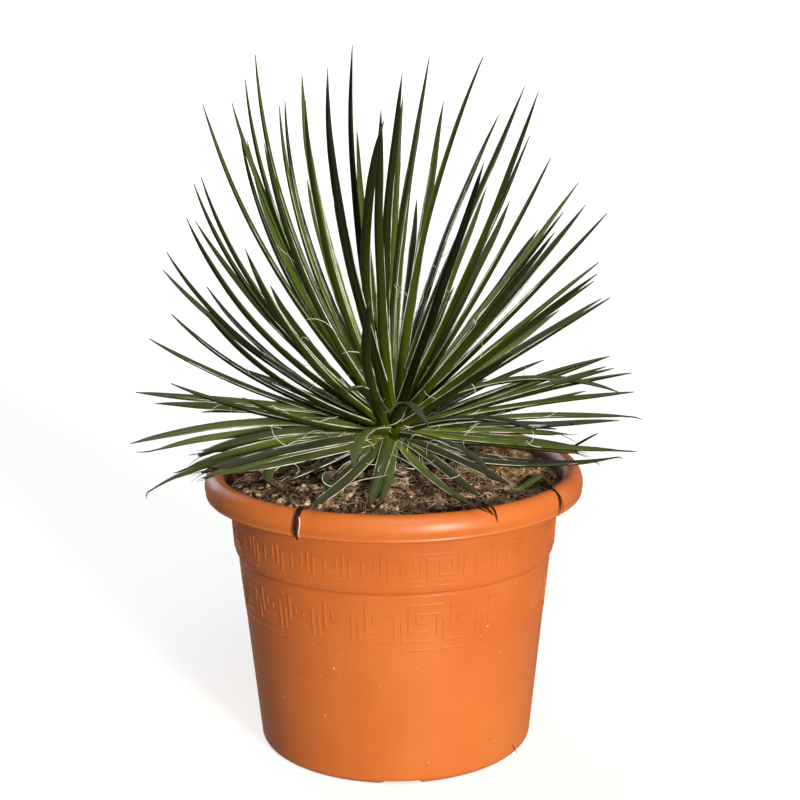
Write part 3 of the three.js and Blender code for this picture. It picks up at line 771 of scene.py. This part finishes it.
def leafSkin():  # living agave leaf: waxy cuticle, fine lengthwise veins, horny pale edge, dry point
    material = newMaterial("agave leaf, waxy cuticle", {"IOR": 1.45, "Specular IOR Level": 0.2})
    along, across, under, tone, dry = (
        addNode(material, "Attribute", attribute_name=name).outputs["Fac"]
        for name in ("along", "across", "under", "tone", "dry"))
    fresh = addNode(material, "ValToRGB", {"Fac": along}, [
        (0.0, "#C8CE40"), (0.95, "#444E28"), (0.08, "#AEBC1A"), (0.2, "#889C12"), (0.4, "#6C8414"), (0.7, "#546A1C"),
    ]).outputs["Color"]
    # dark-toned leaves: partly their own deeper green, partly painted shade, near black like leaves in the shadow of
    # others
    darkAndShadedGreen = addNode(material, "ValToRGB", {"Fac": along}, [
        (0.0, "#8C9620"), (0.95, "#131710"), (0.1, "#4A580A"), (0.22, "#243006"), (0.45, "#131B06"), (0.7, "#0F1507"),
    ]).outputs["Color"]
    share = addNode(material, "MapRange", {"Value": tone, "From Min": 0.32, "From Max": 0.78},
                    interpolation_type="SMOOTHSTEP")
    base = blendColours(material, share.outputs[0], fresh, darkAndShadedGreen)
    place = addNode(material, "CombineXYZ", {"X": across, "Y": along, "Z": tone})
    veins = addNode(material, "Mapping", {"Vector": place.outputs[0], "Scale": (5, 2, 90)})  # 0.8 mm veins
    stripe = addNode(material, "TexNoise", {"Vector": veins.outputs[0], "Scale": 1.0, "Detail": 3.0})
    lighter = addNode(material, "MapRange", {"Value": stripe.outputs["Fac"], "From Min": 0.45, "From Max": 0.75,
                                             "To Max": 0.42})
    base = blendColours(material, lighter.outputs[0], base, colour("#7C8A30"))
    # painted shade: the blade's underside is darkened towards near black, as if in shadow
    shade = addNode(material, "Math", {0: under, 1: 0.76}, operation="MULTIPLY")
    base = blendColours(material, shade.outputs[0], base, colour("#0A0F04"))
    edge = addNode(material, "Math", {0: across}, operation="ABSOLUTE")
    rim = addNode(material, "MapRange", {"Value": edge.outputs[0], "From Min": 0.88, "From Max": 0.98, "To Max": 0.4})
    base = blendColours(material, rim.outputs[0], base, colour("#707C3E"))
    # painted sheen: up-facing surfaces are tinted grey, standing in for the sky's reflection on the wax
    normal = addNode(material, "TexCoord").outputs["Normal"]
    facing = addNode(material, "SeparateXYZ", {0: normal}).outputs["Z"]
    paintedSkySheen = addNode(material, "MapRange", {"Value": facing, "From Min": 0.5, "From Max": 1.0, "To Max": 0.2})
    base = blendColours(material, paintedSkySheen.outputs[0], base, colour("#929080"))  # painted sheen: paler grey where the surface faces up, in place of the sky's reflection
    dead = addNode(material, "ValToRGB", {"Fac": stripe.outputs["Fac"]},
                   [(0.35, "#261F18"), (0.65, "#70624E")]).outputs["Color"]
    base = blendColours(material, dry, base, dead)
    rough = addNode(material, "MapRange", {"Value": stripe.outputs["Fac"], "From Min": 0.3, "From Max": 0.7,
                                           "To Min": 0.36, "To Max": 0.52})
    bump = addNode(material, "Bump", {"Height": stripe.outputs["Fac"], "Strength": 0.35, "Distance": 0.0004})
    dress(material, base=base, rough=rough.outputs[0], normal=bump.outputs[0])
    return material


def makeLeaves(leaves):
    bm = bmesh.new()
    layers = {name: bm.verts.layers.float.new(name) for name in ("along", "across", "under", "tone", "dry")}
    master = barMaster(bm, blade["sides"], blade["steps"])
    addCopies(bm, master, [placeBlade(leaf, layers) for leaf in leaves])
    finishPiece("leafBlades", bm, leafSkin(), "rosette")


# two pieces of leaf that have broken off and lie on the soil, at the front and at the right
looseLeaves = [
    {"at": (-41, -84, 217.5), "azimuth": 118, "base": 24, "tip": 6, "length": 42, "sway": -14,
     "roll": -24, "dry": 0.06, "cut": 0.62, "from": 0.35, "girth": 0.72, "tone": 0.45},
    {"at": (82, -69, 211), "azimuth": 46, "base": 15, "tip": 6, "length": 58, "sway": 12,
     "roll": 14, "dry": 0.08, "cut": 1, "from": 0.25, "girth": 0.8, "tone": 0.4},
]


# short bases of old leaves, which clasp the stem between the living ones
clasping = {"count": 18, "radius": 11, "levels": (238, 256), "base": 64, "tip": 44, "length": 25, "girth": 1.1}


def leafBases():
    bases = []
    for k in range(clasping["count"]):
        t = k / (clasping["count"] - 1)
        bases.append({
            "azimuth": rosette["turn"] * k, "sway": 0, "roll": 0, "dry": 0, "cut": 1, "to": 0.3, "tone": 0.2 + 0.35 * t,
            "level": mix(*clasping["levels"], t),
            **{name: clasping[name] for name in ("radius", "base", "tip", "length", "girth")},
        })
    return bases


def turnToFront(leaves):
    for leaf in leaves:
        right = math.cos(leaf["azimuth"] * degrees)
        leaf["roll"] = right * lowRoll["right" if right > 0 else "left"]
    return leaves


def growRosette():
    leaves = grownLeaves() + placedLeaves(frontLeaves, outer) + placedLeaves(crownLeaves, inner)
    leaves += turnToFront(placedLeaves(lowLeaves, outer))
    draw = makeRandom(blade["seed"])
    for leaf in leaves:
        leaf["girth"] = readAt(girthAt, (leaf["base"] + leaf["tip"]) / 2) * draw(0.95, 1.05)
        leaf.setdefault("tone", draw())
        settleLeaf(leaf)
    return leaves


leaves = growRosette()
makeLeaves(leaves + leafBases() + looseLeaves)
print(len(leaves), "leaves grown")


# Edges: a horny white line along both edges of each leaf, which wears off towards the tip, now and
# then with a second line inside it, and peels off in curling threads.
edging = {"radius": 0.5, "steps": 40, "from": 0.03, "until": (0.5, 0.9), "double": 0.15, "inset": 1.2, "seed": 5}
peeling = {"count": 1.7, "lowCount": 3.2, "steps": 14, "short": (8, 26), "long": (20, 40), "longShare": 0.15,
           "shortBend": (3, 17), "longBend": (3, 11), "radius": 0.33, "wander": 0.5, "seed": 31}


def hornyEdge():  # dry leaf edge: chalk white to straw, matt fibre
    material = newMaterial("agave leaf edge, dry white fibre", {"IOR": 1.5, "Roughness": 0.65})
    spot = addNode(material, "TexCoord").outputs["Object"]
    fibre = addNode(material, "TexNoise", {"Vector": spot, "Scale": 160.0, "Detail": 2.0})  # 6 mm stretches
    base = addNode(material, "ValToRGB", {"Fac": fibre.outputs["Fac"]},
                   [(0.3, "#E0DAB8"), (0.5, "#F7F5E6"), (0.7, "#FFFFFA")]).outputs["Color"]
    dress(material, base=base)
    return material


def edgePoint(leaf, frames, s, hand, inset=0.0):
    p, side, up = frames[round(s * (len(frames) - 1))]
    half = bladeWidth(leaf, s) / 2
    across = max(0, 1 - inset / half)
    return p + side * hand * half * across + up * overEdge(leaf, s, across)


def placeEdge(leaf, hand, inset, draw):
    frames = leafFrames(leaf, edging["steps"] * 2)
    start, end, shift = edging["from"], min(draw(*edging["until"]), 1 - leaf["dry"]), draw(0, 50)

    def radius(s):
        patch = noise.noise(Vector((s * leaf["length"] / 14 + shift, hand * 9, inset)))
        worn = min(1, max(0.12, 0.82 + 1.6 * patch)) * min(1, (end - s) * 9 + 0.1)
        return edging["radius"] * worn * (0.6 if inset else 1)

    points = [edgePoint(leaf, frames, mix(start, end, k / edging["steps"]), hand, inset)
              for k in range(edging["steps"] + 1)]
    return thread(points, [(k / 30, radius(mix(start, end, k / 30))) for k in range(31)])


def threadPath(leaf, frames, draw):  # a thread that leaves the edge and curls, sagging a little
    s, hand = 0.05 + 0.6 * draw() ** 1.4, 1 if draw() > 0.5 else -1
    k, last = round(s * (len(frames) - 1)), len(frames) - 1
    p, side, up = frames[k]
    at = edgePoint(leaf, frames, s, hand)
    along = (frames[min(k + 1, last)][0] - frames[max(k - 1, 0)][0]).normalized()
    way = (along * (1 if draw() > 0.35 else -1) + side * hand * draw(0.2, 0.8) + up * draw(-0.2, 0.6)).normalized()
    bendAxis = Vector((draw(-1, 1), draw(-1, 1), draw(-1, 1))).normalized()
    isLong = draw() < peeling["longShare"]
    bend = draw(*peeling["longBend" if isLong else "shortBend"]) * degrees
    step = draw(*peeling["long" if isLong else "short"]) / peeling["steps"]
    points = [at]
    for k in range(peeling["steps"]):
        turned = Vector((draw(-1, 1), draw(-1, 1), draw(-1, 1))) * peeling["wander"]
        bendAxis = (bendAxis + turned).normalized()
        way = Matrix.Rotation(bend * mix(0.5, 1.5, k / peeling["steps"]), 3, bendAxis) @ way
        way = (way + Vector((0, 0, -0.025))).normalized()
        at = at + way * step
        points.append(at)
    return points


def clearOfPot(points):  # a thread that would cut the soil or the rim is left out
    return all(p.z > restLevel(math.hypot(p.x, p.y)) - 3 for p in points)


def makeEdges(leaves, material):
    bm = bmesh.new()
    draw = makeRandom(edging["seed"])
    master = barMaster(bm, 3, edging["steps"])
    places = []
    for leaf in leaves:
        for hand in (-1, 1):
            places.append(placeEdge(leaf, hand, 0, draw))
            if draw() < edging["double"]:
                places.append(placeEdge(leaf, hand, edging["inset"], draw))
    addCopies(bm, master, places)
    finishPiece("leafEdges", bm, material)


def makeThreads(leaves, material):
    bm = bmesh.new()
    draw = makeRandom(peeling["seed"])
    master = barMaster(bm, 3, peeling["steps"])
    thin = [(0, peeling["radius"]), (0.7, peeling["radius"] * 0.8), (1, peeling["radius"] * 0.3)]
    paths = []
    for leaf in leaves:
        frames = leafFrames(leaf, edging["steps"])
        most = 2 * peeling["lowCount" if leaf["base"] + leaf["tip"] < 40 else "count"]
        paths += [threadPath(leaf, frames, draw) for _ in range(round(draw(0, most)))]
    addCopies(bm, master, [thread(path, thin) for path in paths if clearOfPot(path)])
    finishPiece("peelingThreads", bm, material)


whiteFibre = hornyEdge()
makeEdges(leaves, whiteFibre)
makeThreads(leaves, whiteFibre)


# Dead ends: dark dry strips and spines that hang over the rim, and the curled tips of old leaves.
deadEnds = {
    "steps": 14, "lift": 1.0, "seed": 41, "curl": (6, 15), "curlBend": (1, 8), "radius": 0.6, "fromDry": 0.05,
    "frayed": {"count": 3, "length": (4, 13), "radius": 0.32},
    # azimuth at the start and at the end, place round the lip's section at both, half width
    "strips": [
        (-119.4, -117.2, 140, -32, 2.4), (-62.4, -61.8, 122, 36, 1.1), (-61.8, -59.8, 116, 14, 1.0),
        (-33.2, -35.6, 120, -24, 1.0), (-34.6, -33, 95, -24, 0.9),
    ],
    "paleStrips": [(-117.9, -116.3, 50, -26, 0.42), (-120.8, -120.4, 150, 100, 0.5)],
    # start, end and radius of the dry twigs and stalks, and of a hair at the pot's foot
    "stalks": [
        ((131, -60, 249.4), (154.5, -64, 264), 1.0), ((134, -61, 249.2), (158.5, -63, 252), 0.7),
        ((-11, -75.5, 224.5), (7, -76, 225.5), 0.75), ((91.3, -60.4, 11), (95.6, -61.4, 2.6), 0.3),
    ],
}


def lipPoint(azimuth, place, lift):  # on the rolled lip: place 0 is its outside, 90 its top
    radius = pot["lipCentre"] + (lipWide + lift) * math.cos(place * degrees)
    return onCircle(radius, azimuth * degrees, lipLevel + (pot["lipRise"] + lift) * math.sin(place * degrees))


def stripPlace(strip, draw):
    azimuth, lastAzimuth, place, lastPlace, half = strip
    steps, waves = deadEnds["steps"], draw(0, 6)
    points = []
    for k in range(steps + 1):
        s = k / steps
        wander = 0.5 * math.sin(5 * s + waves)
        lift = deadEnds["lift"] + 0.8 * s * s
        points.append(lipPoint(mix(azimuth, lastAzimuth, s) + wander, mix(place, lastPlace, s), lift))
    tangent = Vector((-math.sin(azimuth * degrees), math.cos(azimuth * degrees), 0))
    return thread(points, [(0, half * 0.8), (0.3, half), (0.8, half * 0.7), (1, half * 0.2)], 0.3, tangent)


def curlPlace(leaf, draw):
    line = middleLine(leaf, 30)
    at, way = line[-1], (line[-1] - line[-3]).normalized()
    axis = Vector((draw(-1, 1), draw(-1, 1), draw(-1, 1))).normalized()
    bend, step = draw(*deadEnds["curlBend"]) * degrees, draw(*deadEnds["curl"]) / deadEnds["steps"]
    points = [line[-2], at]
    for _ in range(deadEnds["steps"] - 1):
        way = Matrix.Rotation(bend, 3, axis) @ way
        at = at + way * step
        points.append(at)
    radius = deadEnds["radius"]
    return thread(points, [(0, radius), (0.5, radius * 0.8), (1, radius * 0.25)])


def frayPlace(leaf, draw):  # a loose fibre at the torn end of a leaf
    shape = deadEnds["frayed"]
    line = middleLine(leaf, 30)
    way = (line[-1] - line[-3]).normalized()
    across = Vector((-way.y, way.x, 0)).normalized() * draw(-2.4, 2.4)
    heading = (way + Vector((draw(-1, 1), draw(-1, 1), draw(-0.6, 0.9))) * 0.45).normalized()
    length, drop = draw(*shape["length"]), Vector((0, 0, -draw(-2, 3)))
    at = line[-2] + across
    shares = [k / deadEnds["steps"] for k in range(deadEnds["steps"] + 1)]
    points = [at + heading * (length + 6) * s + drop * s * s for s in shares]
    return thread(points, [(0, shape["radius"]), (0.6, shape["radius"] * 0.8), (1, shape["radius"] * 0.3)])


def stalkPlace(start, end, radius, draw):  # a thin dry stalk, bent a little
    sideways = Vector((draw(-1, 1), draw(-1, 1), draw(0, 1))) * math.dist(start, end) * 0.09
    shares = [k / deadEnds["steps"] for k in range(deadEnds["steps"] + 1)]
    points = [Vector(start).lerp(Vector(end), s) + sideways * math.sin(math.pi * s) for s in shares]
    return thread(points, [(0, radius), (0.5, radius * 0.9), (0.8, radius * 0.6), (1, radius * 0.25)])


def makeDeadEnds(leaves, material):
    bm = bmesh.new()
    draw = makeRandom(deadEnds["seed"])
    master = barMaster(bm, 6, deadEnds["steps"])
    places = [stripPlace(strip, draw) for strip in deadEnds["strips"]]
    places += [curlPlace(leaf, draw) for leaf in leaves
               if leaf["cut"] == 1 and leaf["dry"] >= deadEnds["fromDry"]]
    places += [frayPlace(leaf, draw) for leaf in leaves if leaf["cut"] < 1
               for _ in range(deadEnds["frayed"]["count"])]
    places += [stalkPlace(*stalk, draw) for stalk in deadEnds["stalks"]]
    addCopies(bm, master, places)
    finishPiece("deadEnds", bm, material)


def makePaleStrips(material):  # straw that has split off the dark strips
    bm = bmesh.new()
    draw = makeRandom(deadEnds["seed"] + 1)
    master = barMaster(bm, 6, deadEnds["steps"])
    addCopies(bm, master, [stripPlace(strip, draw) for strip in deadEnds["paleStrips"]])
    finishPiece("paleStrips", bm, material)


def deadLeaf():  # dead agave leaf: dry, ribbed, dark brown with straw patches
    material = newMaterial("dead agave leaf, dried on the plant", {
        "IOR": 1.45, "Roughness": 0.75, "Specular IOR Level": 0.2,
    })
    spot = addNode(material, "TexCoord").outputs["Object"]
    patch = addNode(material, "TexNoise", {"Vector": spot, "Scale": 110.0, "Detail": 4.0})  # 9 mm patches
    base = addNode(material, "ValToRGB", {"Fac": patch.outputs["Fac"]},
                   [(0.35, "#160B06"), (0.6, "#301A0F"), (0.82, "#A68655")]).outputs["Color"]
    bump = addNode(material, "Bump", {"Height": patch.outputs["Fac"], "Strength": 0.5, "Distance": 0.0005})
    dress(material, base=base, normal=bump.outputs[0])
    return material


makeDeadEnds(leaves, deadLeaf())
makePaleStrips(whiteFibre)


# Stem: short and thick, hidden by the leaves, standing in the soil.
stem = {"radius": 13, "foot": 200, "neck": 238, "bulge": 17, "bulgeFoot": 244, "bulgeTop": 254, "tip": 9, "top": 270}


def stemBark():  # old leaf bases: pale green above, straw brown below
    material = newMaterial("agave stem, clasping leaf bases", {"IOR": 1.45, "Roughness": 0.6})
    spot = addNode(material, "TexCoord").outputs["Object"]
    level = addNode(material, "SeparateXYZ", {0: spot}).outputs["Z"]
    high = addNode(material, "MapRange", {"Value": level, "From Min": 0.236, "From Max": 0.25})
    scale = addNode(material, "TexNoise", {"Vector": spot, "Scale": 300.0, "Detail": 3.0})  # 3 mm scales
    brown = addNode(material, "ValToRGB", {"Fac": scale.outputs["Fac"]},
                    [(0.3, "#4A3A28"), (0.7, "#A08A5C")]).outputs["Color"]
    green = addNode(material, "ValToRGB", {"Fac": scale.outputs["Fac"]},
                    [(0.35, "#56701A"), (0.65, "#A2B04C")]).outputs["Color"]
    base = blendColours(material, high.outputs[0], brown, green)
    bump = addNode(material, "Bump", {"Height": scale.outputs["Fac"], "Strength": 0.5, "Distance": 0.001})
    dress(material, base=base, normal=bump.outputs[0])
    return material


def makeStem():
    bm = bmesh.new()
    shoulder = [(stem["bulge"], stem["bulgeFoot"]), (stem["bulge"] - 2, stem["bulgeTop"])]
    points = [(0, stem["foot"]), (stem["radius"], stem["foot"]), (stem["radius"], stem["neck"])]
    points += shoulder + [(stem["tip"], stem["top"] - 4), (0, stem["top"])]
    spinProfile(bm, points, 40, False)
    finishPiece("stemCore", bm, stemBark())


makeStem()


# Loose bits on the soil.
litter = {
    "humusCrumbs": {"count": 2300, "size": (1.4, 5.4), "seed": 11},
    "barkChips": {"count": 560, "size": (3, 12), "seed": 12},
    "pumiceGrit": {"count": 330, "size": (1.6, 8), "placed": [(-94, -45), (-34, -82), (-26, -90), (-60, -64)], "seed": 13},
    "soilFibres": {"count": 620, "length": (14, 55), "radius": 0.24, "steps": 12, "seed": 14},
    "rootFibres": {"count": 48, "azimuth": (-116, -62), "start": (233, 243), "reach": (30, 64), "seed": 17},
    "fibreClump": {"count": 640, "at": (88, -2), "size": (31, 34), "high": 7, "length": (12, 44), "radius": 0.3,
                   "steps": 12, "seed": 15},
}


def soilSpot(draw, margin):
    radius = math.sqrt(draw(20 ** 2, (soilEdge - margin) ** 2))
    angle = draw(0, 2 * math.pi)
    return radius * math.cos(angle), radius * math.sin(angle)


def placeBit(x, y, size, draw, sink):
    turn = Matrix.Rotation(draw(0, 2 * math.pi), 3, "Z") @ Matrix.Rotation(draw(-0.6, 0.6), 3, "X")
    turn = turn @ Matrix.Rotation(draw(-0.6, 0.6), 3, "Y")
    middle = Vector((x, y, soilHeight(x, y) + size[2] * sink))
    seed = Vector((draw(0, 90), draw(0, 90), draw(0, 90)))

    def place(vert):
        shape = vert.co.copy()
        rough = 1 + 0.45 * noise.noise(shape * 1.7 + seed)
        local = Vector((shape.x * size[0], shape.y * size[1], shape.z * size[2])) * rough
        vert.co = (middle + turn @ local) * mm

    return place


def crumbMaster(bm, detail):
    bmesh.ops.create_icosphere(bm, subdivisions=detail, radius=1)
    return bm.verts[:] + bm.edges[:] + bm.faces[:]


def chipMaster(bm):
    bmesh.ops.create_cube(bm, size=2)
    bmesh.ops.subdivide_edges(bm, edges=bm.edges[:], cuts=1, use_grid_fill=True)
    return bm.verts[:] + bm.edges[:] + bm.faces[:]


def dryStuff(name, stops, scale, rough=0.9):  # one recipe for loose dry bits, tinted bit by bit
    material = newMaterial(name, {"IOR": 1.45, "Roughness": rough})
    spot = addNode(material, "TexCoord").outputs["Object"]
    grain = addNode(material, "TexNoise", {"Vector": spot, "Scale": scale, "Detail": 4.0})
    base = addNode(material, "ValToRGB", {"Fac": grain.outputs["Fac"]}, stops).outputs["Color"]
    bump = addNode(material, "Bump", {"Height": grain.outputs["Fac"], "Strength": 0.5, "Distance": 0.0006})
    dress(material, base=base, normal=bump.outputs[0])
    return material


def makeCrumbs(material):
    shape = litter["humusCrumbs"]
    draw = makeRandom(shape["seed"])
    bm = bmesh.new()
    master = crumbMaster(bm, 1)
    places = []
    for _ in range(shape["count"]):
        x, y = soilSpot(draw, 5)
        wide = draw(*shape["size"]) / 2
        places.append(placeBit(x, y, (wide, wide * draw(0.6, 1), wide * draw(0.5, 0.9)), draw, 0.3))
    addCopies(bm, master, places)
    finishPiece("humusCrumbs", bm, material, smooth=False)


def makeChips(material):
    shape = litter["barkChips"]
    draw = makeRandom(shape["seed"])
    bm = bmesh.new()
    master = chipMaster(bm)
    places = []
    for _ in range(shape["count"]):
        x, y = soilSpot(draw, 7)
        long = draw(*shape["size"]) / 2
        places.append(placeBit(x, y, (long, long * draw(0.3, 0.7), draw(0.4, 1.0)), draw, 0.8))
    addCopies(bm, master, places)
    finishPiece("barkChips", bm, material, smooth=False)


def makeGrit(material):  # most of the pumice lies towards the front left
    shape = litter["pumiceGrit"]
    draw = makeRandom(shape["seed"])
    bm = bmesh.new()
    master = crumbMaster(bm, 1)
    places = [placeBit(x, y, (5.2, 3.6, 2.6), draw, 0.6) for x, y in shape["placed"]]
    while len(places) < shape["count"]:
        x, y = soilSpot(draw, 5)
        if draw() < (1 if y < -40 and x < 10 else 0.22):
            wide = draw(*shape["size"]) / 2
            places.append(placeBit(x, y, (wide, wide * draw(0.4, 0.9), wide * draw(0.25, 0.7)), draw, 0.5))
    addCopies(bm, master, places)
    finishPiece("pumiceGrit", bm, material, smooth=False)


def fibrePath(x, y, length, steps, draw):
    heading, bend, lift = draw(0, 2 * math.pi), draw(-0.35, 0.35), draw(0.3, 3.5)
    points = []
    for k in range(steps + 1):
        s = k / steps
        points.append(Vector((x, y, soilHeight(x, y) + 0.8 + lift * math.sin(math.pi * s))))
        heading += bend + draw(-0.25, 0.25)
        x += math.cos(heading) * length / steps
        y += math.sin(heading) * length / steps
        if math.hypot(x, y) > soilEdge - 3:
            heading += math.pi / 2
            x, y = x * 0.97, y * 0.97
    return points


def makeFibres(material):  # the tangle is thickest at the right
    shape = litter["soilFibres"]
    draw = makeRandom(shape["seed"])
    bm = bmesh.new()
    master = barMaster(bm, 3, shape["steps"])
    places = []
    while len(places) < shape["count"]:
        x, y = soilSpot(draw, 6)
        if draw() < (1 if x > 50 or abs(x) < 22 else 0.4):
            path = fibrePath(x, y, draw(*shape["length"]), shape["steps"], draw)
            thick = shape["radius"] * draw(0.6, 1.4)
            places.append(thread(path, [(0, thick * 0.6), (0.3, thick), (1, thick * 0.4)]))
    places += [rootPlace(litter["rootFibres"], shape, draw) for _ in range(litter["rootFibres"]["count"])]
    addCopies(bm, master, places)
    finishPiece("soilFibres", bm, material)


def rootPlace(roots, shape, draw):  # a dry root that hangs from the stem's foot to the soil
    azimuth, sway, start, reach = draw(*roots["azimuth"]), draw(-14, 14), draw(*roots["start"]), draw(*roots["reach"])
    points = []
    for k in range(shape["steps"] + 1):
        s = k / shape["steps"]
        spot = onCircle(mix(16, reach, s), (azimuth + sway * s * s) * degrees, 0)
        rest = soilHeight(spot.x, spot.y) + 1
        spot.z = max(rest, mix(start, rest, s ** 0.7)) + 1.2 * math.sin(7 * s + azimuth)
        points.append(spot)
    thick = shape["radius"] * draw(0.9, 1.6)
    return thread(points, [(0, thick), (0.6, thick * 0.8), (1, thick * 0.3)])


def clumpPath(shape, draw):  # a fibre that winds over or through a low heap
    share, around, depth = math.sqrt(draw()), draw(0, 2 * math.pi), draw(0.1, 1.15)
    x = shape["at"][0] + shape["size"][0] * share * math.cos(around)
    y = shape["at"][1] + shape["size"][1] * share * math.sin(around)
    heading, bend, step = draw(0, 2 * math.pi), draw(-0.4, 0.4), draw(*shape["length"]) / shape["steps"]
    points = []
    for k in range(shape["steps"] + 1):
        away = math.hypot((x - shape["at"][0]) / shape["size"][0], (y - shape["at"][1]) / shape["size"][1])
        level = soilHeight(x, y) + 0.8 + shape["high"] * max(0, 1 - away * away) * depth
        points.append(Vector((x, y, level + 0.9 * math.sin(1.3 * k + around))))
        heading += bend + draw(-0.3, 0.3)
        x += math.cos(heading) * step
        y += math.sin(heading) * step
        if math.hypot(x, y) > soilEdge - 3:
            heading += math.pi / 2
            x, y = x * 0.96, y * 0.96
    return points


def makeClump(material):  # a low heap of dry fibre at the right
    shape = litter["fibreClump"]
    draw = makeRandom(shape["seed"])
    bm = bmesh.new()
    master = barMaster(bm, 3, shape["steps"])
    places = []
    for _ in range(shape["count"]):
        path, thick = clumpPath(shape, draw), shape["radius"] * draw(0.6, 1.4)
        places.append(thread(path, [(0, thick * 0.5), (0.3, thick), (1, thick * 0.4)]))
    addCopies(bm, master, places)
    finishPiece("fibreClump", bm, material)


makeCrumbs(dryStuff("humus crumbs, composted bark", [(0.38, "#120905"), (0.52, "#684B38"), (0.67, "#DABC9E")], 90))
makeChips(dryStuff("pine bark chips", [(0.36, "#24130C"), (0.51, "#7E563E"), (0.68, "#DABDA0")], 70))
makeGrit(dryStuff("pumice grit", [(0.3, "#6E5634"), (0.5, "#CFB586"), (0.7, "#F8EACA")], 180))
makeFibres(dryStuff("coir fibre", [(0.3, "#7C5C40"), (0.5, "#CEB088"), (0.7, "#F4E4C6")], 60))
makeClump(dryStuff("dry grass fibre", [(0.34, "#50381A"), (0.5, "#B78C4C"), (0.68, "#F6E6B8")], 150))


# Specks: dried splashes of lime and grit on the pot's wall.
specks = {
    "count": 46, "size": (0.25, 0.7), "seed": 61,
    "placed": [(-113, 95, 1.1), (-118, 54, 0.9), (-114.5, 199, 0.5), (-112, 197, 0.4), (-55, 124, 0.8), (-50, 114, 0.6),
               (-47.5, 98, 0.6), (-60.5, 134, 0.5), (-42.5, 152, 0.6), (-49, 100, 0.4), (-52, 117, 0.4)],
}


def makeSpecks(material):
    draw = makeRandom(specks["seed"])
    bm = bmesh.new()
    master = crumbMaster(bm, 1)
    spots = list(specks["placed"])
    spots += [(draw(-180, 180), draw(8, 150), draw(*specks["size"])) for _ in range(specks["count"])]

    def splash(azimuth, level, size):
        tall, seed = draw(0.6, 1.5), Vector((azimuth, level, 0))

        def place(vert):
            x, y, z = vert.co * (1 + 0.5 * noise.noise(vert.co * 1.3 + seed))
            around = azimuth * degrees + x * size / wallRadius(level)
            height = level + y * size * tall
            vert.co = onCircle(wallRadius(height) + z * size * 0.22, around, height) * mm

        return place

    addCopies(bm, master, [splash(*spot) for spot in spots])
    finishPiece("potSpecks", bm, material)


makeSpecks(dryStuff("dried lime splashes", [(0.3, "#DE9E70"), (0.7, "#F2D6BC")], 300))


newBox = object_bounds()
sizes = {"cad": [list(corner) for corner in cadBox], "visual": [list(corner) for corner in newBox]}
print("visual box:", sizes["visual"])
